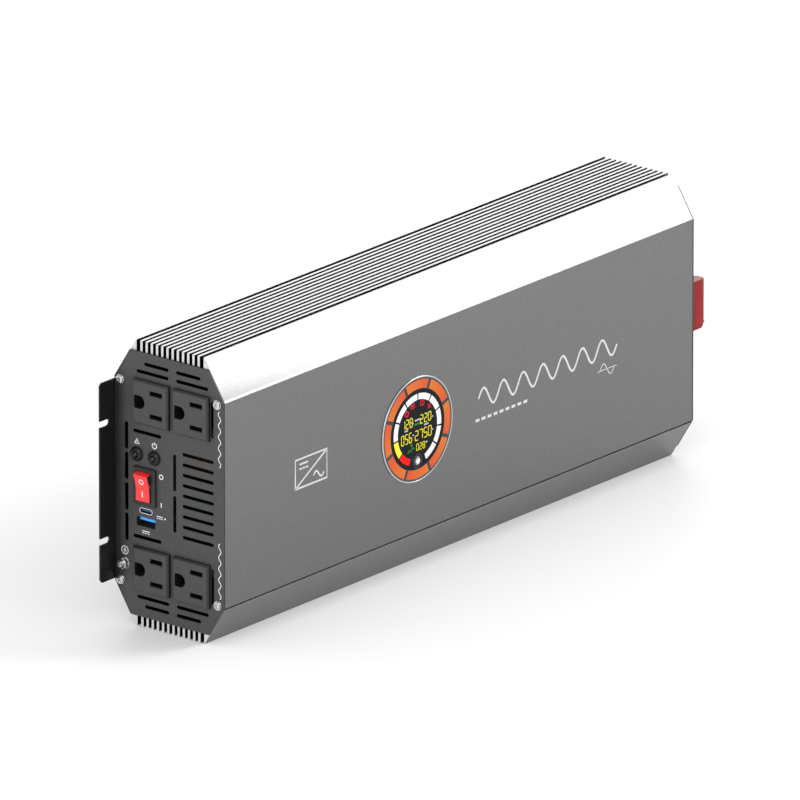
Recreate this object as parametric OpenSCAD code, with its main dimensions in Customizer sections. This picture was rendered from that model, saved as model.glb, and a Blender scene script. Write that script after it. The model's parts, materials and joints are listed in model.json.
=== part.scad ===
// Power inverter: a flat octagonal body of two hooked aluminium extrusions with a steel panel at each end.
// X runs from the outlet end (-X) to the battery end (+X), Y from the display face to the wall face, Z is up.
// The origin is the middle of the flat wall face, and that face lies in the plane Y = 0.

/* [Body] */
// Length of the two extrusions
body_l = 390; // [330:1:560]
// Depth from the display face to the wall face
body_d = 74.6; // [68:0.1:110]
// Height of the flat part of each wide face
flat_h = 113.6; // [110:0.1:150]
// Height over the tips of both fin rows
body_h = 158.8; // [152:0.1:200]
// Distance from a wide face in to the corner of a fin row
tip_in = 14.1; // [10:0.1:18]
// Thickness of the extruded walls
wall = 2.2; // [1.6:0.1:3]

/* [Fins] */
// Thickness of one fin
fin_t = 1.74; // [1.2:0.02:2.4]
// Gap between two fins, and the least gap beside an end block
fin_gap = 1.8; // [1.2:0.1:3]
// Depth of the gaps between the fins
fin_deep = 8.4; // [4:0.1:10]
// Width of the end block at its tip
tip_t = 0.5; // [0.3:0.1:2]

/* [Corner screws and seam] */
// Radius of the corner screws
screw_r = 1.5; // [1.2:0.1:2]
// Distance of the screw channels from the wide face
screw_in = 4.2; // [4:0.1:6]
// Distance of the screw channels from the corner, along the wide face
screw_drop = 1.2; // [0.8:0.1:3]
// Outer radius of the screw channels
boss_r = 2.9; // [2.6:0.1:3.2]
// Width of the seam groove between the extrusions
seam = 1.1; // [0.3:0.1:1.2]
// Clearance between a screw channel and the hook round it
hook_fit = 0.15; // [0.1:0.05:0.3]
// Thickness of the hook
hook_t = 1.4; // [1:0.1:2]
// Radius of a corner screw head
head_r = 2.45; // [2.2:0.05:2.5]
// Height of a corner screw head
head_h = 1.9; // [1.4:0.1:2.4]
// Length of a corner screw under its head
screw_l = 12; // [8:1:20]

/* [End panels] */
// Thickness of the steel panels
panel_t = 1; // [0.8:0.1:2]
// Height of the panels between the fin rows
panel_h = 147; // [140:0.5:170]
// Length of the mounting flange from the panel
flange_l = 13; // [10:0.1:20]
// Height of the mounting flange
flange_h = 111; // [90:0.5:112]
// Inner radius of the flange bend
bend_in = 0.2; // [0.1:0.1:0.6]
// Corner cut of the flange
flange_cut = 1.6; // [0.5:0.1:3]
// Width of the flange notches
notch_w = 3.4; // [3:0.1:5]
// Depth of the flange notches
notch_deep = 7.5; // [5:0.1:9]
// Distance between the two notches of a flange
notch_pitch = 65.2; // [50:0.1:90]
// Clearance round the pieces that pass through a panel
cutout_fit = 0.15; // [0.1:0.05:0.4]

/* [Outlet end] */
// Shift of the outlet group from the middle of the panel, away from the flange
group_shift = -2.3; // [-3:0.1:0]
// Side of the square outlet face, kept between the least round the pin holes and the room between the channels
outlet_w = 24.5; // [22:0.1:29.4]
// Height of the outlet face
outlet_t = 2.6; // [2:0.1:4]
// Bevel of the outlet face
outlet_bevel = 1.1; // [0.5:0.1:1.5]
// Gap between two outlets
outlet_gap = 2.8; // [1:0.1:4]
// Height of the outlet centres above and below the middle
outlet_rise = 46.5; // [42:0.1:52]
// Depth of the outlet body behind the panel
outlet_deep = 24; // [20:0.5:30]
// Distance between the two blade slots
blade_pitch = 12.7; // [12.7:0.1:12.7]
// Distance from the blade slots to the earth pin
earth_pitch = 11.9; // [11.9:0.1:11.9]
// Width of all vent slots
vent_w = 1.8; // [1.4:0.1:2.4]
// Distance between the vent slots beside the switch
vent_pitch = 5.75; // [4:0.05:7]
// Width of the rocker switch bezel
switch_w = 14.6; // [13:0.1:16]
// Height of the rocker switch bezel
switch_h = 20.6; // [19:0.1:22]
// Tilt of the rocker to each side of its middle
rocker_tilt = 8; // [5:0.5:10]
// Radius of an indicator bezel
bezel_r = 4; // [3.5:0.1:5]
// Radius of the earth stud
stud_r = 1.5; // [1.5:0.1:2.5]
// Length of the earth stud outside the panel
stud_l = 5; // [5:0.5:12]

/* [Display] */
// Distance from the outlet end of the extrusion to the display centre
display_x = 157.9; // [120:0.1:200]
// Height of the display centre above the middle
display_z = 0.6; // [-5:0.1:5]
// Outer radius of the silver ring
ring_r = 29.2; // [24:0.1:35.1]
// Width of the silver ring
ring_w = 0.8; // [0.5:0.1:2]
// Height of the display rim above the wide face
rim_t = 0.5; // [0.4:0.1:2]
// Radius of the display button
button_r = 2.5; // [2:0.1:3.5]
// Distance of the button below the display centre
button_drop = 17.7; // [15:0.1:19]
// Travel of the display button
button_travel = 0.5; // [0.3:0.1:1]

/* [Battery end] */
// Side of the square cooling fans
fan_w = 50; // [40:1:52]
// Thickness of the cooling fans
fan_t = 15; // [10:1:20]
// Distance between the fan screws
fan_pitch = 40; // [32:0.5:42]
// Thickness of the copper bars
bar_t = 5; // [3:0.5:6]
// Height of the copper bars
bar_h = 24; // [18:0.5:30]
// Length of the copper bars outside the panel
bar_out = 25.5; // [20:0.5:35]
// Radius of the bolt hole in the copper bars
bar_hole_r = 4.25; // [3.2:0.05:5.3]
// Distance of each copper bar from the nearest wide face
bar_in = 17; // [14:0.5:22]
// Wall of the terminal caps
cap_wall = 1.5; // [1:0.1:2]
// Clearance between a terminal cap and its bar
cap_fit = 0.3; // [0.2:0.05:0.5]

/* [Inside] */
// Height of the board ribs on the wide walls
rib_h = 7; // [6.5:0.1:9]
// Width of the board ribs
rib_w = 7; // [5:0.5:10]
// Distance of the board ribs from the middle
rib_z = 37.5; // [35:0.5:38.5]
// Thickness of the circuit boards
board_t = 1.6; // [1:0.1:2]
// Height of the main board
board_h = 122; // [116:1:126]
// Height of the transformers above the board
core_h = 42; // [30:1:46]
// Thickness of the heat spreader bars
spreader_t = 5.5; // [4:0.5:7]

/* [Hidden] */
$fn = 64;

eps = 0.01;
thread_fit = 0.05;
running_fit = 0.06;
half_d = body_d/2;
half_flat = flat_h/2;
half_h = body_h/2;
mid_y = -half_d;
out_x = -body_l/2 - panel_t;
in_x = body_l/2 + panel_t;
bend_r = bend_in + panel_t;

// Slanted side of the outline, from the corner of a wide face to the corner of a fin row
slant = [tip_in, half_h - half_flat];
slant_l = norm(slant);
valley = half_h - fin_deep;
roof = valley - wall;
knee = half_flat + wall*(slant[1] - slant_l)/slant[0];
boss_z = half_flat - screw_drop;
boss_y = half_d - screw_in;

// Fins: as many as fit between the two end blocks
fin_room = half_d - tip_in - tip_t;
fin_pitch = fin_t + fin_gap;
fin_n = floor((2*fin_room - fin_gap)/fin_pitch);
fin_span = fin_n*fin_pitch - fin_gap;

// Outlet end
outlet_room = boss_y - boss_r - hook_fit - hook_t + group_shift - outlet_gap/2;
outlet_side = max(22.8, min(outlet_w, outlet_room));
outlet_pitch = outlet_side + outlet_gap;
outlet_body = outlet_side - 1.8;
outlet_back = 3.5;
slot_w = 2.2;
slot_l = 8.4;
lead_in = 0.5;
blade_y = -4.4;
earth_y = blade_y + earth_pitch - 0.6;
earth_r = 3.6;
earth_flat = 3.5;
pocket_w = 4.2;
leaf_t = 0.6;
tab_t = 0.8;
tab_w = 6;
tab_l = 8;
port_y = mid_y + group_shift + 18.25;
led_pitch = 11.9;
led_z = 16.6;
led_r = 1.5;
led_rise = 1.3;
switch_z = -0.2;
switch_deep = 13;
bezel_t = 2;
pivot_w = 1.2;
rocker_w = 9.2;
rocker_rise = 2.9;
rocker_half = 7.5;
rocker_r = norm([rocker_half, rocker_rise]);
rocker_dish = 0.9;
rocker_fit = 0.35;
trunnion_r = 1.2;
trunnion_l = 0.8;
usb_c_z = -14.2;
usb_a_z = -20.5;
usb_c = [8.94, 3.26];
usb_a = [13.1, 5.7];
usb_wall = 0.3;
usb_c_wall = 0.45;
usb_board_t = (usb_c_z - usb_c[1]/2) - (usb_a_z + usb_a[1]/2);
stud_y = mid_y + 30.4;
stud_z = -45.7;
nut_w = 5.5;
nut_h = 2.4;
washer_t = 0.5;
washer_r = 3.3;

// Display
lens_r = ring_r - ring_w - 0.9;
lens_t = 0.8;
barrel_r = ring_r - 1.2;
barrel_deep = 13;
glass_gap = 0.5;
button_fit = 0.3;
tact_h = 1.2;
button_flange = 0.7;
display_cx = -body_l/2 + display_x;

// Battery end
cap_t = bar_t + 2*(cap_fit + cap_wall);
cap_h = bar_h + 2*(cap_fit + cap_wall);
cap_out = bar_out + cap_fit + cap_wall;
plate_t = 2.5;
fan_z = cap_h/2 + 1.3 + fan_w/2;
fan_bore_r = fan_w/2 - 1.3;
fan_hub_r = fan_w/4;
fan_screw_r = 2;
wire_r = 0.8;
bar_y = [-body_d + bar_in, -bar_in];

// Main board, standing on the ribs of the rear shell
board_y = -(wall + rib_h + board_t);
board_x0 = -body_l/2 + outlet_deep + outlet_back + 9;
board_x1 = body_l/2 - fan_t - 8;
board_screw_x = [for (k = [0:2]) board_x0 + 12 + k*(board_x1 - board_x0 - 24)/2];
core_w = 43;
core_t = 20;
core_leg = 12;
core_yoke = 6;
core_side = 6;
winding_fit = 0.3;
core_x = [board_x0 + 160, board_x0 + 222];
bus_x = board_x0 + 78;
choke_x = board_x0 + 26;
spreader_z = roof - spreader_t;
package = [16, 20, 5];

function fin_y(i) = -fin_span/2 + i*fin_pitch;
function slant_in(z, t) = ((z - half_flat)*slant[0] + t*slant_l)/slant[1];
function outlet_y(i) = mid_y + group_shift + (i % 2 == 0 ? 1 : -1)*outlet_pitch/2;
function outlet_z(i) = (i < 2 ? 1 : -1)*outlet_rise;

// ---- placing: each module turns local +Z outwards ----
module at_output(y, z) {
    translate([out_x, y, z]) rotate([0, -90, 0]) children();
}

module at_input(y, z) {
    translate([in_x, y, z]) rotate([0, 90, 0]) children();
}

module at_front(x, z) {
    translate([x, -body_d, z]) rotate([90, 0, 0]) children();
}

module on_board(x, z) {
    translate([x, board_y, z]) rotate([90, 0, 0]) children();
}

// Extrudes a (Y, Z) section, drawn about the middle of the body, along X
module along_body(x0, l) {
    translate([x0, mid_y, 0]) rotate([90, 0, 90]) linear_extrude(l) children();
}

module four(a, b) {
    for (p = [-1, 1], q = [-1, 1]) translate([p*a, q*b]) children();
}

// ---- shared shapes ----
module slot(l, w) {
    square([l - w, w], center = true);
    for (s = [-1, 1]) translate([s*(l - w)/2, 0]) circle(w/2);
}

module tube(r, bore, h) {
    difference() {
        cylinder(r = r, h = h);
        translate([0, 0, -eps]) cylinder(r = bore, h = h + 2*eps);
    }
}

module hexagon_bar(across, h) {
    cylinder(r = across/sqrt(3), h = h, $fn = 6);
}

// Block with a bevelled top: two trapezoid prisms crossed
module bevelled(w, l, t, c) {
    intersection() {
        translate([0, l/2, 0]) rotate([90, 0, 0]) linear_extrude(l)
            polygon([[-w/2, 0], [w/2, 0], [w/2, t - c], [w/2 - c, t], [c - w/2, t], [-w/2, t - c]]);
        translate([-w/2, 0, 0]) rotate([90, 0, 90]) linear_extrude(w)
            polygon([[-l/2, 0], [l/2, 0], [l/2, t - c], [l/2 - c, t], [c - l/2, t], [-l/2, t - c]]);
    }
}

// Pan head screw with a cross recess: head above local Z = 0, thread below
module pan_screw(r, l, hr, hh) {
    difference() {
        union() {
            translate([0, 0, -l]) cylinder(r = r, h = l);
            cylinder(r = hr, h = hh*0.6);
            translate([0, 0, hh*0.6 - eps]) cylinder(r1 = hr, r2 = hr*0.72, h = hh*0.4 + eps);
        }
        for (a = [0, 90]) rotate(a)
            translate([-hr*0.6, -hr*0.12, hh*0.45]) cube([hr*1.2, hr*0.24, hh]);
    }
}

// ---- body outline and extrusions ----
module outline(top) {
    cut = (top - half_flat)*slant[0]/slant[1];
    polygon([
        [-half_d, -half_flat], [-half_d, half_flat], [cut - half_d, top], [half_d - cut, top],
        [half_d, half_flat], [half_d, -half_flat], [half_d - cut, -top], [cut - half_d, -top]
    ]);
}

module cavity() {
    inner = half_d - wall;
    shoulder = half_d - slant_in(roof, wall);
    polygon([
        [-inner, -knee], [-inner, knee], [-shoulder, roof], [shoulder, roof],
        [inner, knee], [inner, -knee], [shoulder, -roof], [-shoulder, -roof]
    ]);
}

module fin_gaps() {
    difference() {
        translate([-fin_room, valley]) square([2*fin_room, fin_deep + 1]);
        for (i = [0:fin_n - 1]) translate([fin_y(i), valley - 1]) square([fin_t, fin_deep + 3]);
    }
}

// The part of the outline that belongs to one extrusion
module shell_half() {
    translate([-half_d - 1, -half_flat]) square([half_d + 1 + eps, half_flat + half_h + 1]);
    translate([0, half_flat + seam]) square([half_d + 1, half_h - half_flat + 1]);
}

// Hook that grips the screw channel of the other extrusion
module hook() {
    intersection() {
        outline(half_h);
        translate([boss_y, boss_z]) circle(boss_r + hook_fit + hook_t);
        union() {
            translate([boss_y - 2*boss_r - hook_t, boss_z - 1]) square([2*boss_r + hook_t, 4*boss_r]);
            translate([boss_y - eps, half_flat + seam]) square([2*boss_r, 2*boss_r]);
        }
    }
}

module channels(r) {
    for (s = [-1, 1]) translate([-boss_y, s*boss_z]) circle(r);
}

// One extrusion; both are the same section
module shell() {
    difference() {
        union() {
            along_body(-body_l/2, body_l) intersection() {
                difference() {
                    outline(half_h);
                    cavity();
                }
                shell_half();
            }
            along_body(-body_l/2, body_l) channels(boss_r);
            along_body(-body_l/2, body_l) hook();
            for (s = [-1, 1]) translate([-body_l/2, wall - eps - body_d, s*rib_z - rib_w/2])
                cube([body_l, rib_h + eps, rib_w]);
        }
        along_body(-body_l/2 - 1, body_l + 2) fin_gaps();
        along_body(-body_l/2 - 1, body_l + 2) channels(screw_r + thread_fit);
        along_body(-body_l/2 - 1, body_l + 2) translate([boss_y, boss_z]) circle(boss_r + hook_fit);
    }
}

module front_shell() {
    color("#8a8a8a") difference() {
        shell();
        at_front(display_cx, display_z) translate([0, 0, -wall - rib_h - 1])
            cylinder(r = barrel_r + cutout_fit, h = wall + rib_h + 2);
    }
}

module rear_shell() {
    color("#8a8a8a") difference() {
        translate([0, 2*mid_y, 0]) rotate([180, 0, 0]) shell();
        for (x = board_screw_x, s = [-1, 1]) on_board(x, s*rib_z)
            translate([0, 0, -board_t - rib_h]) cylinder(r = screw_r + thread_fit, h = rib_h + eps);
    }
}

// ---- end panels ----
// Bend and flange, with two notches open at the outer edge
module flange() {
    tip_x = out_x - flange_l;
    difference() {
        translate([0, 0, -flange_h/2]) linear_extrude(flange_h) {
            translate([out_x + panel_t - bend_r, -bend_r]) intersection() {
                difference() {
                    circle(bend_r);
                    circle(bend_r - panel_t);
                }
                square(bend_r + 1);
            }
            translate([tip_x, -panel_t]) square([flange_l + panel_t - bend_r, panel_t]);
        }
        for (s = [-1, 1]) {
            translate([tip_x, -2*panel_t, s*notch_pitch/2]) rotate([-90, 0, 0]) {
                translate([notch_deep - notch_w/2, 0, 0]) cylinder(r = notch_w/2, h = 3*panel_t);
                translate([-1, -notch_w/2, 0]) cube([notch_deep - notch_w/2 + 1, notch_w, 3*panel_t]);
            }
            translate([tip_x, 0, s*flange_h/2]) rotate([0, 45, 0])
                cube([flange_cut*sqrt(2), 4*panel_t, flange_cut*sqrt(2)], center = true);
        }
    }
}

// Panel with its flange; the children are the cutouts, drawn in (Y, Z) about the middle of the body
module panel() {
    along_body(out_x, panel_t) difference() {
        outline(panel_h/2);
        translate([half_d - bend_r, -flange_h/2]) square([bend_r + 1, flange_h]);
        four(boss_y, boss_z) circle(screw_r + cutout_fit);
        children();
    }
    flange();
}

module vents() {
    gap = 2.7;
    long = 21.6;
    short = 16.4;
    for (s = [-1, 1], t = [-1, 1]) {
        translate([s*(gap + long/2), t*62.6]) slot(long, vent_w);
        translate([s*(gap + short/2), t*67.3]) slot(short, vent_w);
    }
    for (k = [-3:2:3]) translate([31.4, k*8.45]) rotate(90) slot(15.2, vent_w + 0.4);
    for (k = [-1, 1]) {
        translate([-1.4, k*11.5]) rotate(90) slot(20.2, vent_w + 0.2);
        translate([-outlet_pitch/2 - outlet_side/2 - 1.2, k*46.3]) rotate(90) slot(20, vent_w);
        translate([17.3, k*29.2]) slot(19, vent_w);
    }
    for (k = [-4:4]) translate([-17.4, k*vent_pitch]) slot(21, vent_w);
}

module output_panel() {
    color("#505050") panel() {
        translate([group_shift, 0]) vents();
        for (i = [0:3]) translate([outlet_y(i) - mid_y, outlet_z(i)])
            square(outlet_body + 2*cutout_fit, center = true);
        translate([port_y - mid_y, switch_z]) square([switch_w - 1.6, switch_h - 1.6], center = true);
        for (s = [-1, 1]) translate([port_y - mid_y + s*led_pitch/2, led_z]) circle(bezel_r - 1 + cutout_fit);
        translate([port_y - mid_y, usb_c_z]) slot(usb_c[0] + 2*cutout_fit, usb_c[1] + 2*cutout_fit);
        translate([port_y - mid_y, usb_a_z]) square([usb_a[0] - 2*usb_wall, usb_a[1] - 2*usb_wall], center = true);
        translate([stud_y - mid_y, stud_z]) circle(stud_r + cutout_fit);
    }
}

module input_panel() {
    color("#505050") mirror([1, 0, 0]) panel() {
        for (s = [-1, 1]) translate([0, s*fan_z]) {
            circle(fan_bore_r);
            four(fan_pitch/2, fan_pitch/2) circle(fan_screw_r + cutout_fit);
        }
        for (y = bar_y) translate([y - mid_y, 0])
            square([cap_t - 1 + 2*cutout_fit, bar_h + 2.4 + 2*cutout_fit], center = true);
        for (k = [-2:2]) translate([0, k*4.6]) slot(20, vent_w);
    }
}

module output_panel_screws() {
    color("#c8c8c8") for (p = [-1, 1], q = [-1, 1])
        at_output(mid_y + p*boss_y, q*boss_z) pan_screw(screw_r, screw_l, head_r, head_h);
}

module input_panel_screws() {
    color("#c8c8c8") for (p = [-1, 1], q = [-1, 1])
        at_input(mid_y + p*boss_y, q*boss_z) pan_screw(screw_r, screw_l, head_r, head_h);
}

// ---- outlets: local X is up, local Y points to the wall face ----
module earth_hole(h) {
    translate([0, earth_y, 0]) {
        cylinder(r = earth_r, h = h);
        translate([-earth_r, 0, 0]) cube([2*earth_r, earth_flat, h]);
    }
}

// Sloped mouth of a blade slot
module lead_in(w, l) {
    side = w/2 + lead_in;
    translate([0, l/2, 0]) rotate([90, 0, 0]) linear_extrude(l)
        polygon([[-w/2, 0], [w/2, 0], [side, lead_in], [side, lead_in + 1], [-side, lead_in + 1], [-side, lead_in]]);
}

module outlet_housing(i) {
    floor_z = outlet_back - outlet_deep;
    color("#4c4c4c") at_output(outlet_y(i), outlet_z(i)) difference() {
        union() {
            bevelled(outlet_side, outlet_side, outlet_t, outlet_bevel);
            translate([-outlet_body/2, -outlet_body/2, -outlet_deep]) cube([outlet_body, outlet_body, outlet_deep + eps]);
        }
        for (s = [-1, 1]) translate([s*blade_pitch/2, blade_y, 0]) {
            translate([-slot_w/2, -slot_l/2, -6]) cube([slot_w, slot_l, outlet_t + 7]);
            translate([0, 0, outlet_t - lead_in]) lead_in(slot_w, slot_l);
            translate([-pocket_w/2, -slot_l/2, floor_z]) cube([pocket_w, slot_l, -floor_z - 5]);
            translate([-tab_t/2, -tab_w/2, -outlet_deep - 1]) cube([tab_t, tab_w, outlet_back + 2]);
        }
        translate([0, 0, floor_z]) earth_hole(outlet_t - floor_z + 1);
        translate([-tab_w/2, earth_y - tab_t/2, -outlet_deep - 1]) cube([tab_w, tab_t, outlet_back + 2]);
    }
}

// Two leaves on a base with a solder tab
module blade_contact() {
    floor_z = outlet_back - outlet_deep;
    w = 1.3 + 2*leaf_t;
    difference() {
        translate([-w/2, -3.4, floor_z]) cube([w, 6.8, 13]);
        translate([leaf_t - w/2, -3.4 - eps, floor_z + leaf_t]) cube([w - 2*leaf_t, 6.8 + 2*eps, 13]);
    }
    translate([-tab_t/2, -tab_w/2, floor_z - outlet_back - tab_l]) cube([tab_t, tab_w, outlet_back + tab_l + eps]);
}

module earth_contact() {
    floor_z = outlet_back - outlet_deep;
    translate([0, earth_y, floor_z]) {
        tube(3.2, 2.5, 12);
        cylinder(r = 3.2, h = leaf_t);
        translate([-tab_w/2, -tab_t/2, -outlet_back - tab_l]) cube([tab_w, tab_t, outlet_back + tab_l + eps]);
    }
}

module blade_contacts(side) {
    color("#c9a54a") for (i = [0:3]) at_output(outlet_y(i), outlet_z(i))
        translate([side*blade_pitch/2, blade_y, 0]) blade_contact();
}

module outlet_housing_1() { outlet_housing(0); }
module outlet_housing_2() { outlet_housing(1); }
module outlet_housing_3() { outlet_housing(2); }
module outlet_housing_4() { outlet_housing(3); }
module outlet_line_contacts() { blade_contacts(-1); }
module outlet_neutral_contacts() { blade_contacts(1); }

module outlet_earth_contacts() {
    color("#c9a54a") for (i = [0:3]) at_output(outlet_y(i), outlet_z(i)) earth_contact();
}

// ---- indicators ----
module indicator_bezel(s) {
    bore = led_r + 0.1;
    color("#2a2a2a") at_output(port_y + s*led_pitch/2, led_z) rotate_extrude()
        polygon([
            [bore, -6], [bezel_r - 1, -6], [bezel_r - 1, 0], [bezel_r, 0], [bezel_r, 0.7],
            [bezel_r - 0.5, 1.5], [bezel_r - 1.2, 2], [bore + 0.7, 2.2], [bore, 1.7]
        ]);
}

module indicator_led(s) {
    color("#202020") at_output(port_y + s*led_pitch/2, led_z) {
        translate([0, 0, -7]) cylinder(r = led_r, h = 7 + led_rise);
        translate([0, 0, led_rise]) sphere(led_r);
        translate([0, 0, -7]) cylinder(r = led_r + 0.4, h = 1);
        for (k = [-1, 1]) translate([-0.25, k*1.27 - 0.25, -15]) cube([0.5, 0.5, 8 + eps]);
    }
}

module fault_bezel() { indicator_bezel(1); }
module power_bezel() { indicator_bezel(-1); }
module fault_led() { indicator_led(1); }
module power_led() { indicator_led(-1); }

// ---- rocker switch ----
module switch_housing() {
    open_l = 2*(rocker_r + rocker_fit);
    open_w = rocker_w + 2*rocker_fit;
    color("#262626") at_output(port_y, switch_z) difference() {
        union() {
            bevelled(switch_h, switch_w, bezel_t, 0.6);
            translate([-switch_h/2 + 0.9, -switch_w/2 + 0.9, -switch_deep])
                cube([switch_h - 1.8, switch_w - 1.8, switch_deep + eps]);
        }
        translate([-open_l/2, -open_w/2, -switch_deep + 4]) cube([open_l, open_w, switch_deep + bezel_t]);
        translate([0, -open_w/2 - trunnion_l, pivot_w]) rotate([-90, 0, 0])
            cylinder(r = trunnion_r + running_fit, h = open_w + 2*trunnion_l);
        for (s = [-1, 1]) translate([s*4.8 - tab_t/2, -2.4, -switch_deep - 1]) cube([tab_t, 4.8, 6]);
    }
}

// Rocker drawn level about its pivot, then tilted to its pressed side
module switch_rocker() {
    dish_r = (pow(rocker_half, 2) + pow(rocker_dish, 2))/(2*rocker_dish);
    color("#e8353a") at_output(port_y, switch_z) translate([0, 0, pivot_w]) rotate([0, -rocker_tilt, 0]) {
        translate([0, rocker_w/2, 0]) rotate([90, 0, 0]) linear_extrude(rocker_w) difference() {
            intersection() {
                circle(rocker_r);
                translate([-rocker_r, -4]) square([2*rocker_r, 4 + rocker_rise]);
            }
            translate([0, rocker_rise - rocker_dish + dish_r]) circle(dish_r, $fn = 128);
        }
        translate([0, -rocker_w/2 - rocker_fit - trunnion_l + 0.1, 0]) rotate([-90, 0, 0])
            cylinder(r = trunnion_r, h = rocker_w + 2*(rocker_fit + trunnion_l - 0.1));
    }
}

module switch_terminals() {
    color("#c9a54a") at_output(port_y, switch_z) for (s = [-1, 1])
        translate([s*4.8 - tab_t/2, -2.4, -switch_deep - tab_l]) cube([tab_t, 4.8, tab_l + 4]);
}

// ---- data ports on their own small board ----
module usb_c_port() {
    color("#c0c4c8") at_output(port_y, usb_c_z) rotate(90) translate([0, 0, -8.5]) difference() {
        linear_extrude(8.5) slot(usb_c[0], usb_c[1]);
        translate([0, 0, 1]) linear_extrude(8.5) slot(usb_c[0] - 2*usb_c_wall, usb_c[1] - 2*usb_c_wall);
    }
}

module usb_c_tongue() {
    color("#2c58a0") at_output(port_y, usb_c_z) rotate(90)
        translate([-3.3, -0.35, -7.5]) cube([6.6, 0.7, 6.7]);
}

module usb_a_port() {
    color("#c0c4c8") at_output(port_y, usb_a_z) translate([0, 0, -14 - panel_t]) difference() {
        translate([-usb_a[1]/2, -usb_a[0]/2, 0]) cube([usb_a[1], usb_a[0], 14]);
        translate([-usb_a[1]/2 + usb_wall, -usb_a[0]/2 + usb_wall, 1])
            cube([usb_a[1] - 2*usb_wall, usb_a[0] - 2*usb_wall, 14]);
    }
}

module usb_a_tongue() {
    color("#2f9be8") at_output(port_y, usb_a_z) translate([0.3, -5.6, -13 - panel_t]) cube([1.9, 11.2, 12]);
}

module usb_board() {
    color("#1d6b3a") at_output(port_y, (usb_c_z - usb_c[1]/2 + usb_a_z + usb_a[1]/2)/2)
        translate([-usb_board_t/2, -10, -26]) cube([usb_board_t, 20, 24]);
}

// ---- earth stud ----
module earth_stud() {
    color("#c8c8c8") at_output(stud_y, stud_z) {
        translate([0, 0, -panel_t - 2]) hexagon_bar(nut_w, 2);
        translate([0, 0, -panel_t - eps]) cylinder(r = stud_r, h = panel_t + stud_l + eps);
    }
}

module earth_washer() {
    color("#d0d0d0") at_output(stud_y, stud_z) tube(washer_r, stud_r + cutout_fit, washer_t);
}

module earth_nut() {
    color("#c8c8c8") at_output(stud_y, stud_z) translate([0, 0, washer_t]) difference() {
        hexagon_bar(nut_w, nut_h);
        translate([0, 0, -eps]) cylinder(r = stud_r + thread_fit, h = nut_h + 2*eps);
    }
}

// ---- round display ----
module display_ring() {
    inner = ring_r - ring_w;
    color("#b8b8b8") at_front(display_cx, display_z) rotate_extrude()
        polygon([[inner, 0], [ring_r, 0], [ring_r, rim_t*0.8], [ring_r - 0.2, rim_t + 0.2], [inner, rim_t + 0.2]]);
}

module display_bezel() {
    rim = ring_r - ring_w;
    color("#26313a") at_front(display_cx, display_z) rotate_extrude()
        polygon([
            [barrel_r - 1.6, -barrel_deep], [barrel_r, -barrel_deep], [barrel_r, 0], [rim, 0], [rim, rim_t],
            [lens_r, rim_t], [lens_r, rim_t - lens_t], [barrel_r - 1.6, rim_t - lens_t]
        ]);
}

module display_lens() {
    color("#1b1f22") at_front(display_cx, display_z) difference() {
        translate([0, 0, rim_t - lens_t]) cylinder(r = lens_r, h = lens_t);
        translate([0, -button_drop, -1]) cylinder(r = button_r + button_fit, h = 4);
    }
}

// Board with the dark display block and the small switch under the button
module display_board() {
    block_top = rim_t - lens_t - glass_gap;
    board_z = -8;
    color("#20352a") at_front(display_cx, display_z) {
        difference() {
            translate([0, 0, board_z + board_t - eps]) cylinder(r = barrel_r - 3.2, h = block_top - board_z - board_t);
            translate([0, -button_drop, board_z]) cylinder(r = button_r + 1.6, h = 20);
            translate([0, -button_drop - 6, board_z + 10]) cube([2*button_r + 3.2, 12, 20], center = true);
        }
        translate([0, 0, board_z]) cylinder(r = barrel_r - 1.6, h = board_t);
        translate([0, -button_drop, board_z + board_t/2]) cylinder(r = button_r - 0.4, h = board_t/2 + tact_h);
    }
}

module display_button() {
    foot_z = -8 + board_t + tact_h + button_travel + 0.15;
    lid_z = rim_t - lens_t - 0.2;
    dome_h = 0.7;
    dome_r = (pow(button_r, 2) + pow(dome_h, 2))/(2*dome_h);
    color("#f2f2f2") at_front(display_cx, display_z) translate([0, -button_drop, 0]) {
        translate([0, 0, foot_z]) cylinder(r = button_r, h = rim_t - foot_z);
        translate([0, 0, lid_z - 1]) cylinder(r = button_r + button_flange, h = 1);
        intersection() {
            translate([0, 0, rim_t + dome_h - dome_r]) sphere(dome_r);
            translate([0, 0, rim_t - eps]) cylinder(r = button_r, h = 2);
        }
    }
}

// ---- cooling fans: local Z = 0 is the outer face of the battery panel ----
module fan_frame(s) {
    hub_gap = 3;
    color("#222222") at_input(mid_y, s*fan_z) translate([0, 0, -panel_t - fan_t]) {
        difference() {
            translate([-fan_w/2, -fan_w/2, 0]) cube([fan_w, fan_w, fan_t]);
            translate([0, 0, -1]) cylinder(r = fan_bore_r, h = fan_t + 2);
            four(fan_pitch/2, fan_pitch/2) translate([0, 0, -1]) cylinder(r = fan_screw_r + thread_fit, h = fan_t + 2);
        }
        difference() {
            union() {
                cylinder(r = fan_hub_r, h = 2);
                for (a = [20, 140, 260]) rotate(a) translate([0, -1.6, 0]) cube([fan_bore_r + 0.5, 3.2, 2]);
                cylinder(r = 3, h = 2 + hub_gap);
            }
            translate([0, 0, 1]) cylinder(r = 1 + running_fit, h = 10);
        }
    }
}

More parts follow.
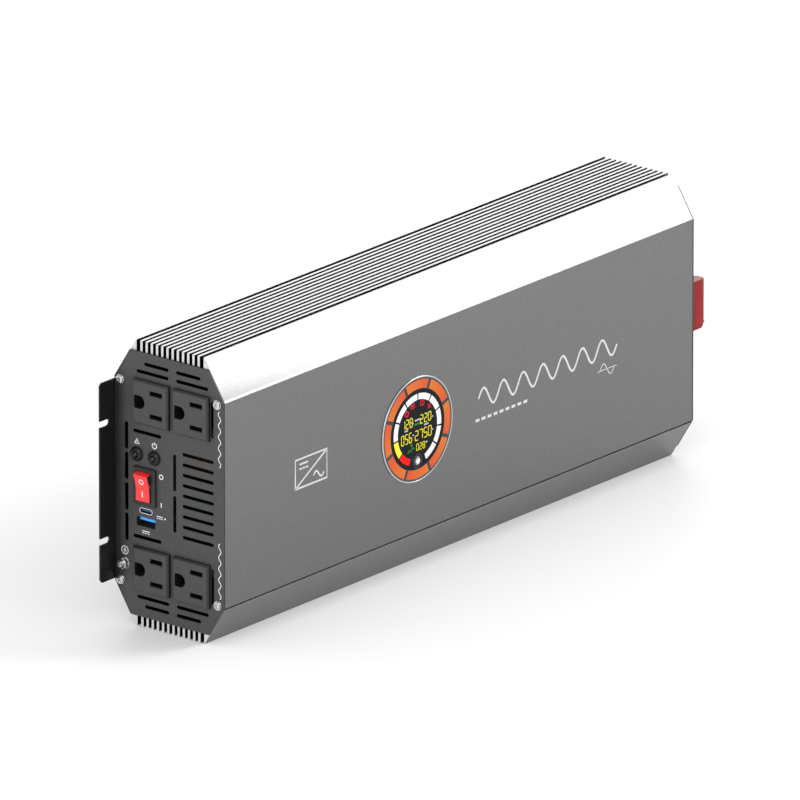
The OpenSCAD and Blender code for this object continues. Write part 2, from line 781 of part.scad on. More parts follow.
module fan_rotor(s) {
    blade_r = fan_bore_r - 0.7;
    color("#2b2b2b") at_input(mid_y, s*fan_z) translate([0, 0, -panel_t - fan_t]) {
        difference() {
            translate([0, 0, 2.5]) cylinder(r = fan_hub_r, h = fan_t - 3.5);
            translate([0, 0, 2]) cylinder(r = fan_hub_r - 1.2, h = 4.5);
        }
        translate([0, 0, 1.4]) cylinder(r = 1, h = 6);
        intersection() {
            translate([0, 0, 2.5]) tube(blade_r, fan_hub_r - 0.6, fan_t - 4);
            for (k = [0:6]) rotate(k*360/7) translate([fan_hub_r - 1, 0, fan_t/2 + 0.5]) rotate([38, 0, 0])
                translate([0, -0.6, -fan_t/2]) cube([blade_r, 1.2, fan_t]);
        }
    }
}

// Wire finger guard: rings, two cross wires and an eye round each screw
module fan_guard(s) {
    eye_r = fan_screw_r + wire_r + 0.2;
    color("#c4c7ca") at_input(mid_y, s*fan_z) {
        for (k = [1:4]) translate([0, 0, 3*wire_r - 0.2]) rotate_extrude()
            translate([k*(fan_bore_r - 0.3)/4, 0]) circle(wire_r);
        for (a = [45, 135]) rotate(a) translate([-fan_pitch/sqrt(2) + eye_r, 0, wire_r]) rotate([0, 90, 0])
            cylinder(r = wire_r, h = 2*(fan_pitch/sqrt(2) - eye_r));
        four(fan_pitch/2, fan_pitch/2) translate([0, 0, wire_r]) rotate_extrude() translate([eye_r, 0]) circle(wire_r);
    }
}

module upper_fan_frame() { fan_frame(1); }
module lower_fan_frame() { fan_frame(-1); }
module upper_fan_rotor() { fan_rotor(1); }
module lower_fan_rotor() { fan_rotor(-1); }
module upper_fan_guard() { fan_guard(1); }
module lower_fan_guard() { fan_guard(-1); }

module fan_screws() {
    color("#c8c8c8") for (s = [-1, 1]) at_input(mid_y, s*fan_z) four(fan_pitch/2, fan_pitch/2)
        translate([0, 0, 2*wire_r]) pan_screw(fan_screw_r, panel_t + 2*wire_r + 11, 3.7, 2.2);
}

// ---- battery terminals ----
// Bar outside the panel, running inwards to a leg that stands on the board
module copper_bar(y, inside) {
    leg_t = 4;
    color("#b87333") difference() {
        union() {
            translate([in_x - inside, y - bar_t/2, -bar_h/2]) cube([inside + bar_out, bar_t, bar_h]);
            translate([in_x - inside, y - bar_t/2, -bar_h/2]) cube([leg_t, board_y - y + bar_t/2, bar_h]);
        }
        translate([in_x + bar_out - bar_h/2, y - bar_t, 0]) rotate([-90, 0, 0])
            cylinder(r = bar_hole_r, h = 2*bar_t);
        for (s = [-1, 1]) translate([in_x + bar_out, y, s*bar_h/2]) rotate([0, 45, 0])
            cube([5, 2*bar_t, 5], center = true);
    }
}

// Cap with a round nose and bevelled lower corner, open towards the panel
module terminal_cap(y) {
    nose = cap_t/2;
    start = plate_t + cap_fit;
    translate([in_x, y, 0]) difference() {
        intersection() {
            translate([0, 0, -cap_h/2]) linear_extrude(cap_h) {
                translate([start, -nose]) square([cap_out - nose - start, cap_t]);
                translate([cap_out - nose, 0]) circle(nose);
            }
            translate([0, cap_t, 0]) rotate([90, 0, 0]) linear_extrude(2*cap_t)
                polygon([
                    [start, -cap_h/2], [cap_out - nose, -cap_h/2], [cap_out + eps, nose - cap_h/2],
                    [cap_out + eps, cap_h/2 - 0.8], [cap_out - 0.8, cap_h/2], [start, cap_h/2]
                ]);
        }
        translate([0, -bar_t/2 - cap_fit, -bar_h/2 - cap_fit])
            cube([cap_out - cap_wall, bar_t + 2*cap_fit, bar_h + 2*cap_fit]);
    }
}

module positive_bar() { copper_bar(bar_y[0], 27); }
module negative_bar() { copper_bar(bar_y[1], 18); }
module positive_cap() { color("#b23a3e") terminal_cap(bar_y[0]); }
module negative_cap() { color("#2a2a2a") terminal_cap(bar_y[1]); }

// Bush round each bar: a plate outside the panel and a sleeve through it
module terminal_bush(y) {
    plate_w = cap_t + 3;
    color("#1f1f1f") difference() {
        union() {
            translate([in_x, y - plate_w/2, -cap_h/2]) cube([plate_t, plate_w, cap_h]);
            translate([in_x - panel_t - 4, y - (cap_t - 1)/2, -bar_h/2 - 1.2])
                cube([panel_t + 4 + eps, cap_t - 1, bar_h + 2.4]);
        }
        translate([in_x - 20, y - bar_t/2, -bar_h/2]) cube([40, bar_t, bar_h]);
    }
}

module positive_bush() { terminal_bush(bar_y[0]); }
module negative_bush() { terminal_bush(bar_y[1]); }

// ---- main board and what stands on it ----
module main_board() {
    color("#1f6b3c") difference() {
        translate([board_x0, board_y, -board_h/2]) cube([board_x1 - board_x0, board_t, board_h]);
        for (x = board_screw_x, s = [-1, 1]) translate([x, board_y - 1, s*rib_z]) rotate([-90, 0, 0])
            cylinder(r = screw_r + cutout_fit, h = board_t + 2);
    }
}

module board_screws() {
    color("#c8c8c8") for (x = board_screw_x, s = [-1, 1])
        on_board(x, s*rib_z) pan_screw(screw_r, board_t + rib_h - 1, head_r, head_h);
}

// Ferrite core: an outer frame with a middle leg
module transformer_core(x) {
    color("#3a3a3c") on_board(x, 0) difference() {
        translate([-core_t/2, -core_w/2, 0]) cube([core_t, core_w, core_h]);
        for (s = [-1, 1]) translate([0, s*(core_leg/2 + (core_w/2 - core_side))/2, core_h/2])
            cube([core_t + 1, core_w/2 - core_side - core_leg/2, core_h - 2*core_yoke], center = true);
    }
}

module transformer_winding(x) {
    w = 2*(core_w/2 - core_side) - 2*winding_fit;
    h = core_h - 2*core_yoke;
    color("#c9a227") on_board(x, 0) difference() {
        translate([-core_t/2 - 8, -w/2, core_yoke]) cube([core_t + 16, w, h]);
        translate([-core_t/2, -core_leg/2, core_yoke - 1]) cube([core_t, core_leg, h + 2]);
    }
}

module transformer_core_1() { transformer_core(core_x[0]); }
module transformer_core_2() { transformer_core(core_x[1]); }
module transformer_winding_1() { transformer_winding(core_x[0]); }
module transformer_winding_2() { transformer_winding(core_x[1]); }

module output_inductor() {
    color("#b5652a") on_board(choke_x, 0) tube(21, 10, 20);
}

module bus_capacitor(s) {
    color("#2d4f8c") on_board(bus_x, s*20) {
        cylinder(r = 17.5, h = 43);
        translate([0, 0, 43 - eps]) cylinder(r = 16.5, h = 1);
    }
}

module bus_capacitor_1() { bus_capacitor(1); }
module bus_capacitor_2() { bus_capacitor(-1); }

module input_capacitors() {
    color("#2d4f8c") for (k = [0:1], s = [-1, 1], t = [20, 39])
        on_board(core_x[1] + 31 + k*18, s*t*0.95) cylinder(r = 8, h = 30);
}

// Bars between the transistors and the narrow walls
module heat_spreader(s) {
    color("#9a9a9a") translate([board_x0 + 10, board_y - 32, s > 0 ? spreader_z : -roof])
        cube([board_x1 - board_x0 - 20, 30, spreader_t]);
}

module upper_heat_spreader() { heat_spreader(1); }
module lower_heat_spreader() { heat_spreader(-1); }

module transistor_row(s) {
    for (k = [0:5]) translate([board_x0 + 30 + k*(board_x1 - board_x0 - 60)/5, board_y, 0]) {
        translate([-package[0]/2, -4 - package[1], s > 0 ? spreader_z - package[2] : -spreader_z])
            cube([package[0], package[1], package[2]]);
        for (j = [-1:1]) translate([j*5.4 - 0.5, -4 - eps, s*(spreader_z - package[2]/2) - 0.3]) cube([1, 4 + eps, 0.6]);
    }
}

module transistors() {
    color("#242424") for (s = [-1, 1]) transistor_row(s);
}

// Spring strip that presses each row of transistors outwards
module transistor_clamps() {
    inner = spreader_z - package[2];
    color("#c0c0c0") for (s = [-1, 1]) translate([board_x0 + 18, board_y - 18, s > 0 ? inner - 1.2 : -inner])
        cube([board_x1 - board_x0 - 36, 8, 1.2]);
}

front_shell();
rear_shell();
output_panel();
input_panel();
output_panel_screws();
input_panel_screws();
outlet_housing_1();
outlet_housing_2();
outlet_housing_3();
outlet_housing_4();
outlet_line_contacts();
outlet_neutral_contacts();
outlet_earth_contacts();
fault_bezel();
power_bezel();
fault_led();
power_led();
switch_housing();
switch_rocker();
switch_terminals();
usb_c_port();
usb_c_tongue();
usb_a_port();
usb_a_tongue();
usb_board();
earth_stud();
earth_washer();
earth_nut();
display_ring();
display_bezel();
display_lens();
display_board();
display_button();
upper_fan_frame();
lower_fan_frame();
upper_fan_rotor();
lower_fan_rotor();
upper_fan_guard();
lower_fan_guard();
fan_screws();
positive_bar();
negative_bar();
positive_cap();
negative_cap();
positive_bush();
negative_bush();
main_board();
board_screws();
transformer_core_1();
transformer_core_2();
transformer_winding_1();
transformer_winding_2();
output_inductor();
bus_capacitor_1();
bus_capacitor_2();
input_capacitors();
upper_heat_spreader();
lower_heat_spreader();
transistors();
transistor_clamps();
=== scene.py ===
import json
import math

import bmesh
import bpy
from mathutils import Matrix, Vector


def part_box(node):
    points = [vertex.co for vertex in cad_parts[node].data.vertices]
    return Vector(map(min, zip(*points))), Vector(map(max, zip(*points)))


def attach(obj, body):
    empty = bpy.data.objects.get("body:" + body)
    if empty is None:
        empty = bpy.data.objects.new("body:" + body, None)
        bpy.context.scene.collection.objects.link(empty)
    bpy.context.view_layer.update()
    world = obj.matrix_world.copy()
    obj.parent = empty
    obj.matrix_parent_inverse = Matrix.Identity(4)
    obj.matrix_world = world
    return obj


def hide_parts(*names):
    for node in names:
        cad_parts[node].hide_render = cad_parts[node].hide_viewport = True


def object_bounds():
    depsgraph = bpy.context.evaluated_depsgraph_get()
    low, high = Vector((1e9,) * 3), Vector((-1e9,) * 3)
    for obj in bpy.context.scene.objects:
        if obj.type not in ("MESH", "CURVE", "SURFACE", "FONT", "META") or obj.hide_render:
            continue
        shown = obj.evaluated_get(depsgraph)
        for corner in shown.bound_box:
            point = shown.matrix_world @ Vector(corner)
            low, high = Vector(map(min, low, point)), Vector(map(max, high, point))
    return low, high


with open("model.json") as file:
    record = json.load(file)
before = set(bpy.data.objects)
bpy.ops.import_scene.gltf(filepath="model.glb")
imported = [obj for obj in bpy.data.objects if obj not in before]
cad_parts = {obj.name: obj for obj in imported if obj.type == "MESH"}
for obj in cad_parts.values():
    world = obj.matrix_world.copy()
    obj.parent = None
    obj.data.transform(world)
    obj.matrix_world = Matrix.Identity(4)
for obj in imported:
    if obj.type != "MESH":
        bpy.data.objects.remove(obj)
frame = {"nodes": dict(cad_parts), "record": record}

cadBox = [list(corner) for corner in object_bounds()]
scene = bpy.context.scene
mm = 0.001

# Planes and centres that the pieces are placed on, read from the frame
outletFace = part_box("earth_washer")[1].x       # outer face of the outlet panel
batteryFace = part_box("upper_fan_guard")[0].x   # outer face of the battery panel
shellLow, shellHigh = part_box("front_shell")
frontFace = shellLow.y                         # plane of the wide display face
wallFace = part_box("rear_shell")[1].y
depthMiddle = (frontFace + wallFace) / 2
ringLow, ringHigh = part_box("display_ring")
displayCentre = (ringLow + ringHigh) / 2
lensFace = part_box("display_lens")[0].y


def linear(hexColour):
    channels = [int(hexColour[i:i + 2], 16) / 255 for i in (1, 3, 5)]
    return [c / 12.92 if c <= 0.04045 else ((c + 0.055) / 1.055) ** 2.4 for c in channels] + [1.0]


def middle(node):
    low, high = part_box(node)
    return (low + high) / 2


# Nodes and materials
def addNode(tree, kind, settings=None, links=None):
    node = tree.nodes.new(kind)
    sockets = {}
    for key, value in (settings or {}).items():
        if isinstance(key, int) or key in node.inputs:
            sockets[key] = value
        else:
            setattr(node, key, value)
    for key, value in sockets.items():
        node.inputs[key].default_value = value
    for key, socket in (links or {}).items():
        tree.links.new(socket, node.inputs[key])
    return node


# A material with one shader; finish(tree, shader, place) adds what the surface shows
def newMaterial(name, colour, roughness, metallic=0.0, finish=None, **shaderSettings):
    material = bpy.data.materials.new(name)
    material.use_nodes = True
    tree = material.node_tree
    tree.nodes.clear()
    settings = {"Base Color": linear(colour), "Roughness": roughness, "Metallic": metallic}
    settings.update({key.replace("_", " "): value for key, value in shaderSettings.items()})
    shader = addNode(tree, "ShaderNodeBsdfPrincipled", settings)
    addNode(tree, "ShaderNodeOutputMaterial", links={"Surface": shader.outputs[0]})
    if finish:
        place = addNode(tree, "ShaderNodeTexCoord").outputs["Object"]
        finish(tree, shader, place)
    return material


# Noise whose grains are grainMm across, longer along an axis where stretch is under 1
def grain(tree, place, grainMm, stretch=(1, 1, 1), detail=3.0):
    scaled = addNode(tree, "ShaderNodeMapping", {"Scale": stretch}, {"Vector": place})
    return addNode(tree, "ShaderNodeTexNoise", {"Scale": 1 / (grainMm * mm), "Detail": detail},
                   {"Vector": scaled.outputs[0]}).outputs["Fac"]


def tint(tree, shader, factor, dark, light, low=0.35, high=0.65):
    ramp = addNode(tree, "ShaderNodeValToRGB", links={"Fac": factor})
    ramp.color_ramp.elements[0].position = low
    ramp.color_ramp.elements[0].color = linear(dark)
    ramp.color_ramp.elements[1].position = high
    ramp.color_ramp.elements[1].color = linear(light)
    tree.links.new(ramp.outputs[0], shader.inputs["Base Color"])
    return ramp


# The base colour turns from the ramp's to the other one as factor goes from 0 to 1
def blend(tree, shader, factor, ramp, other):
    shade = addNode(tree, "ShaderNodeMix", {"data_type": "RGBA", 7: linear(other)},
                    {0: factor, 6: ramp.outputs[0]})
    tree.links.new(shade.outputs[2], shader.inputs["Base Color"])


def relief(tree, shader, height, depthMm, before=None):
    links = {"Height": height}
    if before:
        links["Normal"] = before.outputs[0]
    bump = addNode(tree, "ShaderNodeBump", {"Distance": depthMm * mm, "Strength": 1.0}, links)
    tree.links.new(bump.outputs[0], shader.inputs["Normal"])
    return bump


def polish(tree, shader, factor, smooth, rough):
    spread = addNode(tree, "ShaderNodeMapRange", {"To Min": smooth, "To Max": rough}, {"Value": factor})
    tree.links.new(spread.outputs[0], shader.inputs["Roughness"])


# Extruded aluminium, blasted and anodised grey: fine even grit, slightly blotchy sheen
def anodisedFinish(tree, shader, place):
    grit = grain(tree, place, 0.55)
    tint(tree, shader, grit, "#6f6f70", "#797979", 0.36, 0.64)
    polish(tree, shader, grain(tree, place, 3.0), 0.29, 0.33)
    relief(tree, shader, grit, 0.006)


# Sheared edge of the steel sheet: bare, with short burnished streaks across its thickness
def shearedFinish(tree, shader, place):
    tint(tree, shader, grain(tree, place, 0.5, (0.2, 1, 1)), "#4e4e4e", "#5a5a5a")


# Flanks of the fins, with painted shade that makes them darker than the tips
def flankShadeFinish(tree, shader, place):
    tint(tree, shader, grain(tree, place, 0.9), "#2b2b2c", "#353536")


# How far a surface is inside the given band of one axis, as 0 or 1
def within(tree, place, axis, middleMm, halfMm):
    parts = addNode(tree, "ShaderNodeSeparateXYZ", links={0: place})
    return addNode(tree, "ShaderNodeMath", {"operation": "COMPARE", 1: middleMm * mm, 2: halfMm * mm},
                   {0: parts.outputs[axis]}).outputs[0]


# Sawn end of the extrusion: bright bare metal with fine straight saw marks, with painted shade where the
# panel covers it
panelShadeHalfMm = 73.0


def sawnFinish(tree, shader, place):
    marks = grain(tree, place, 0.5, (1, 0.06, 1), 2.0)
    ramp = tint(tree, shader, marks, "#c4c5c7", "#e2e3e4", 0.3, 0.7)
    # Painted shade: near black inside the band that the panel covers
    blend(tree, shader, within(tree, place, "Z", 0, panelShadeHalfMm), ramp, "#141414")
    relief(tree, shader, marks, 0.02)


# Powder coat: soft pimples about 0.4 mm across that break up the gloss, with painted shade darkening it
# towards the bend
bendShade = {"fromMm": 8.0, "toMm": 1.5}


def powderFinish(tree, shader, place):
    pimples = grain(tree, place, 0.45, detail=1.5)
    ramp = tint(tree, shader, grain(tree, place, 1.2), "#3b3b3b", "#434343")
    depth = addNode(tree, "ShaderNodeSeparateXYZ", links={0: place}).outputs["Y"]
    # Painted shade: the coat darkens as it nears the bend
    band = {"From Min": wallFace - bendShade["fromMm"] * mm, "From Max": wallFace - bendShade["toMm"] * mm}
    bend = addNode(tree, "ShaderNodeMapRange", band, {"Value": depth})
    blend(tree, shader, bend.outputs[0], ramp, "#161616")
    polish(tree, shader, pimples, 0.42, 0.62)
    relief(tree, shader, pimples, 0.03)


# The same coat on the flange, with painted shade that makes it darker than the panel face
def flangeShadeFinish(tree, shader, place):
    pimples = grain(tree, place, 0.45, detail=1.5)
    tint(tree, shader, grain(tree, place, 2.0), "#0a0a0a", "#101010")
    relief(tree, shader, pimples, 0.02)


# Bright zinc plate: small cloudy crystals
def zincFinish(tree, shader, place):
    cloud = grain(tree, place, 0.8)
    tint(tree, shader, cloud, "#b4b7ba", "#dddfe1")
    polish(tree, shader, cloud, 0.14, 0.26)


# Moulded nylon with a fine spark-eroded texture
def nylonFinish(tree, shader, place):
    pits = grain(tree, place, 0.3, detail=2.0)
    tint(tree, shader, grain(tree, place, 1.5), "#383838", "#404040")
    polish(tree, shader, pits, 0.45, 0.6)
    relief(tree, shader, pits, 0.01)


# The polished sides of the same moulding, with painted shade that makes them darker than its face
def nylonSideShadeFinish(tree, shader, place):
    tint(tree, shader, grain(tree, place, 1.5), "#161616", "#1c1c1c")


def blackFinish(tree, shader, place):
    pits = grain(tree, place, 0.35, detail=2.0)
    tint(tree, shader, grain(tree, place, 2.0), "#1c1c1c", "#242424")
    polish(tree, shader, pits, 0.38, 0.52)
    relief(tree, shader, pits, 0.008)


# Stamped brass: rolling lines and a warm, slightly uneven tarnish
def brassFinish(tree, shader, place):
    rolled = grain(tree, place, 0.4, (0.05, 1, 1))
    tint(tree, shader, grain(tree, place, 2.5), "#b98f38", "#d9b65c")
    relief(tree, shader, rolled, 0.004)


# Gloss moulded plastic with the faintest sink marks
def glossFinish(dark, light):
    def finish(tree, shader, place):
        sink = grain(tree, place, 4.0, detail=1.0)
        tint(tree, shader, sink, dark, light)
        relief(tree, shader, sink, 0.01)
    return finish


# Moulded white button, with painted shade greying it towards its rim
def buttonShadeFinish(tree, shader, place):
    ramp = tint(tree, shader, grain(tree, place, 2.0), "#efefef", "#fafafa")
    low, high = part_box("display_button")
    centre = ((low.x + high.x) / 2, 0, (low.z + high.z) / 2)
    radius = (high.x - low.x) / 2
    flat = addNode(tree, "ShaderNodeVectorMath", {"operation": "MULTIPLY", 1: (1, 0, 1)}, {0: place})
    reach = addNode(tree, "ShaderNodeVectorMath", {"operation": "DISTANCE", 1: centre},
                    {0: flat.outputs[0]}).outputs["Value"]
    # Painted shade: greying outwards from a third of the radius
    rim = addNode(tree, "ShaderNodeMapRange", {"From Min": radius * 0.35, "From Max": radius * 0.62},
                  {"Value": reach})
    blend(tree, shader, rim.outputs[0], ramp, "#5c5c5c")


# Nickel-plated stamping
def nickelFinish(tree, shader, place):
    cloud = grain(tree, place, 0.6)
    tint(tree, shader, cloud, "#d2d5d8", "#eef0f2")
    polish(tree, shader, cloud, 0.14, 0.26)


# Glass-epoxy board: green mask over copper tracks about 1.2 mm apart
def boardFinish(tree, shader, place):
    tracks = addNode(tree, "ShaderNodeTexBrick", {"Scale": 90.0, "Mortar Size": 0.06, "Bias": -0.4,
                     "Color1": linear("#17592f"), "Color2": linear("#1d6b3a"), "Mortar": linear("#2f8a50")},
                     {"Vector": place})
    tree.links.new(tracks.outputs["Color"], shader.inputs["Base Color"])
    relief(tree, shader, tracks.outputs["Fac"], 0.03)


# Satin chrome, brushed round the ring
def chromeFinish(tree, shader, place):
    brushed = grain(tree, place, 0.25, detail=2.0)
    tint(tree, shader, brushed, "#b4b6b8", "#d6d8da")
    polish(tree, shader, brushed, 0.22, 0.36)


# Drawn copper bar: rolling lines with patches of brown tarnish
def copperFinish(tree, shader, place):
    rolled = grain(tree, place, 0.35, (0.04, 1, 1))
    tint(tree, shader, grain(tree, place, 5.0), "#a2602f", "#c98351", 0.3, 0.7)
    polish(tree, shader, rolled, 0.24, 0.42)
    relief(tree, shader, rolled, 0.006)


# Dip-moulded vinyl: slow ripples and a soft sheen
def vinylFinish(dark, light):
    def finish(tree, shader, place):
        ripple = grain(tree, place, 6.0, detail=2.0)
        fine = grain(tree, place, 0.5)
        tint(tree, shader, ripple, dark, light)
        relief(tree, shader, fine, 0.006, relief(tree, shader, ripple, 0.12))
    return finish


# Sintered ferrite: dull, faintly speckled ceramic
def ferriteFinish(tree, shader, place):
    tint(tree, shader, grain(tree, place, 0.4), "#2f2f31", "#47474a")
    relief(tree, shader, grain(tree, place, 0.4), 0.02)


# Yellow tape over the winding, in turns 9 mm wide
def tapeFinish(tree, shader, place):
    turns = addNode(tree, "ShaderNodeTexWave", {"Scale": 17.5, "Distortion": 0.4, "bands_direction": "Y"},
                    {"Vector": place}).outputs["Fac"]
    tint(tree, shader, turns, "#b98e18", "#dcb634", 0.05, 0.3)
    relief(tree, shader, turns, 0.06)


# Shrunk vinyl sleeve of a capacitor
def sleeveFinish(tree, shader, place):
    tint(tree, shader, grain(tree, place, 8.0), "#27457d", "#345b9e")
    relief(tree, shader, grain(tree, place, 1.5), 0.02)


# Milled aluminium bar: cutter marks across its length
def milledFinish(tree, shader, place):
    marks = grain(tree, place, 0.6, (1, 0.05, 0.05))
    tint(tree, shader, marks, "#a3a5a8", "#c8cacc")
    relief(tree, shader, marks, 0.02)


# Screen-printed ink: nearly even, with a slightly dry edge
def inkFinish(dark, light):
    def finish(tree, shader, place):
        tint(tree, shader, grain(tree, place, 0.8), dark, light, 0.2, 0.6)
    return finish


materials = {
    "body_aluminium": newMaterial("anodised aluminium extrusion", "#818284", 0.45, 1.0, anodisedFinish),
    "panel_steel": newMaterial("powder-coated steel sheet", "#4d4d4d", 0.5, 0.0, powderFinish),
    "screw_steel": newMaterial("zinc-plated steel", "#d0d2d4", 0.25, 1.0, zincFinish),
    "outlet_plastic": newMaterial("spark-textured moulded nylon", "#4b4b4b", 0.5, 0.0, nylonFinish, IOR=1.53),
    "contact_brass": newMaterial("stamped spring brass", "#c9a54a", 0.3, 1.0, brassFinish),
    "black_plastic": newMaterial("moulded black nylon", "#202020", 0.45, 0.0, blackFinish, IOR=1.53),
    "indicator_lens": newMaterial("smoked epoxy lens", "#101010", 0.06, 0.0,
                                  glossFinish("#0c0c0c", "#141414"), IOR=1.56),
    "rocker_red": newMaterial("polished red polycarbonate", "#e8262c", 0.22, 0.0,
                              glossFinish("#ee2a2c", "#f93436"), IOR=1.58),
    "port_shell": newMaterial("nickel-plated stamping", "#e0e2e4", 0.2, 1.0, nickelFinish),
    # The blue tongue carries a faint emission: painted glow, not a lamp
    "port_blue": newMaterial("moulded blue nylon", "#30a8f8", 0.4, 0.0,
                             glossFinish("#2ba2f4", "#3cb2fc"), IOR=1.53,
                             Emission_Color=linear("#30a8f8"), Emission_Strength=0.25),
    "board_green": newMaterial("glass-epoxy circuit board", "#1f6b3c", 0.35, 0.0, boardFinish, IOR=1.55),
    "ring_silver": newMaterial("satin chrome plate", "#c8cacc", 0.28, 1.0, chromeFinish),
    "display_slate": newMaterial("moulded slate polycarbonate", "#26313a", 0.35, 0.0,
                                 glossFinish("#232d36", "#2a3640"), IOR=1.58),
    "display_glass": newMaterial("anti-glare acrylic window", "#141719", 0.14, 0.0,
                                 glossFinish("#111215", "#15161a"), Specular_IOR_Level=0.08),
    "button_white": newMaterial("moulded white ABS", "#f4f4f4", 0.3, 0.0, buttonShadeFinish, IOR=1.52),
    "copper": newMaterial("drawn copper bar", "#b87333", 0.32, 1.0, copperFinish),
    "cap_red": newMaterial("dip-moulded red vinyl", "#8c1418", 0.42, 0.0, vinylFinish("#841014", "#94181c"),
                           Specular_IOR_Level=0.2),
    "cap_black": newMaterial("dip-moulded black vinyl", "#262626", 0.42, 0.0,
                             vinylFinish("#1d1d1d", "#2a2a2a"), IOR=1.53),
    "ferrite": newMaterial("sintered ferrite", "#3a3a3c", 0.6, 0.0, ferriteFinish),
    "winding": newMaterial("polyester winding tape", "#c9a227", 0.35, 0.0, tapeFinish),
    "capacitor_sleeve": newMaterial("heat-shrunk vinyl sleeve", "#2d4f8c", 0.3, 0.0, sleeveFinish),
    "spreader_aluminium": newMaterial("milled aluminium bar", "#b4b6b8", 0.35, 1.0, milledFinish),
}
sawnAluminium = newMaterial("sawn bare aluminium", "#d4d4d4", 0.5, 0.0, sawnFinish)
shadedFinFlank = newMaterial("anodised fin flank", "#303031", 0.4, 1.0, flankShadeFinish)
shearedEdge = newMaterial("sheared steel edge", "#545454", 0.35, 1.0, shearedFinish)
tongueBlue = newMaterial("moulded dark blue nylon", "#34508a", 0.4, 0.0,
                         glossFinish("#2e4a84", "#3a5890"), IOR=1.53)
portRing = newMaterial("bright drawn port shell", "#f4f4f4", 0.45, 1.0, nickelFinish)
shadedFlangePaint = newMaterial("powder-coated flange", "#131313", 0.45, 0.0, flangeShadeFinish)
shadedNylonSides = newMaterial("polished nylon sides", "#222222", 0.4, 0.0, nylonSideShadeFinish, IOR=1.53)
whiteInk = newMaterial("white screen print", "#e8e8e8", 0.5, 0.0, inkFinish("#e0e0e0", "#f4f4f4"))
greyInk = newMaterial("light grey screen print", "#c9c9c9", 0.5, 0.0, inkFinish("#c0c0c0", "#cfcfcf"))


# Lit figures on the display keep their colour in shade
def litMaterial(name, colour, strength, finish=None):
    return newMaterial(name, colour, 0.35, 0.0, finish, Emission_Color=linear(colour),
                       Emission_Strength=strength, Specular_IOR_Level=0.1)


litWhite = litMaterial("lit white segment", "#e4e4e4", 0.1)
litYellow = litMaterial("lit yellow figure", "#d2ca18", 0.3)
litBarYellow = litMaterial("lit yellow segment", "#f0df28", 0.2)
litRed = litMaterial("lit red segment", "#f40808", 0.35)
litIcon = litMaterial("lit dark red symbol", "#d01424", 0.35)
litGreen = litMaterial("lit green mark", "#0f7a36", 0.35)
litGrey = litMaterial("lit grey mark", "#a8a8ac", 0.25)
slateInk = newMaterial("slate screen print", "#33424c", 0.5, 0.0, inkFinish("#2f3d46", "#384751"),
                       Specular_IOR_Level=0.1)
# Painted shade: a dark grey ring round the button, barely glowing
paintedButtonShade = litMaterial("dim grey halo", "#3c3c3e", 0.02)
lampBlack = newMaterial("polished black nylon", "#0a0a0a", 0.22, 0.0, glossFinish("#080808", "#0c0c0c"),
                        Specular_IOR_Level=0.35)
print("materials made:", len(bpy.data.materials))


# Softened copies of the CAD pieces
def link(name, mesh):
    piece = bpy.data.objects.new(name, mesh)
    scene.collection.objects.link(piece)
    return piece


# Turns what the modifiers make into the piece's own mesh
def settle(piece):
    bpy.context.view_layer.update()
    shape = piece.evaluated_get(bpy.context.evaluated_depsgraph_get())
    mesh = bpy.data.meshes.new_from_object(shape)
    piece.modifiers.clear()
    old = piece.data
    piece.data = mesh
    bpy.data.meshes.remove(old)
    mesh.name = piece.name
    return piece


softenedPieces = {}


def turning(edge):
    if len(edge.link_faces) != 2:
        return 0.0
    return edge.calc_face_angle_signed(0.0)


# A copy of a CAD node with its outer edges rounded; wide(edge) picks edges that get the full radius
def softened(node, edgeMm, segments=2, wide=None, wideMm=0.0, sharpest=28, concave=False):
    mesh = frame["nodes"][node].data.copy()
    piece = link(node.replace("_", "") + "Soft", mesh)
    softenedPieces[node] = piece
    work = bmesh.new()
    work.from_mesh(mesh)
    bmesh.ops.remove_doubles(work, verts=work.verts, dist=0.002 * mm)
    bmesh.ops.dissolve_limit(work, angle_limit=math.radians(0.5), verts=work.verts, edges=work.edges)
    weight = work.edges.layers.float.new("bevel_weight_edge")
    full = max(edgeMm, wideMm)
    for edge in work.edges:
        angle = math.degrees(turning(edge))
        edge.smooth = abs(angle) < sharpest
        if wide and wide(edge):
            edge[weight] = wideMm / full
            edge.smooth = True
        elif angle > sharpest or (concave and angle < -sharpest):
            edge[weight] = edgeMm / full
    for face in work.faces:
        face.smooth = True
    work.to_mesh(mesh)
    work.free()
    bevel = piece.modifiers.new("rounding", "BEVEL")
    bevel.width = full * mm
    bevel.segments = segments
    bevel.limit_method = "WEIGHT"
    bevel.use_clamp_overlap = False
    bevel.harden_normals = True
    return settle(piece)


def dress(piece, *finishes):
    piece.data.materials.clear()
    for finish in finishes:
        piece.data.materials.append(finish)


def standFor(piece, node, body):
    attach(piece, body)
    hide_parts(node)


# The long corner between the wide face and the slant above or below it
def longCorner(edge):
    a, b = (v.co for v in edge.verts)
    along = abs(a.x - b.x) > 0.8 * (shellHigh.x - shellLow.x)
    flat = min(abs(a.y - frontFace), abs(a.y - wallFace)) < 0.2 * mm
    return along and flat and math.degrees(abs(turning(edge))) < 40


shell = {"edgeMm": 0.18, "cornerMm": 1.6, "finsFromMm": 70.0, "finsInMm": 8.0, "tipsFromMm": 78.0}
for node in ("front_shell", "rear_shell"):
    piece = softened(node, shell["edgeMm"], 4, longCorner, shell["cornerMm"])
    dress(piece, materials["body_aluminium"], sawnAluminium, shadedFinFlank)
    for face in piece.data.polygons:
        fromEdge = min(face.center.y - frontFace, wallFace - face.center.y)
        inFins = abs(face.center.z) > shell["finsFromMm"] * mm and fromEdge > shell["finsInMm"] * mm
        if abs(face.normal.x) > 0.9 and face.area > 1e-9:
            face.material_index = 1
        # Painted shade: fin flanks and the floors between the fins take the darker flank colour
        elif inFins and (abs(face.normal.y) > 0.9 or abs(face.center.z) < shell["tipsFromMm"] * mm):
            face.material_index = 2
    standFor(piece, node, "housing")
print("shells softened")

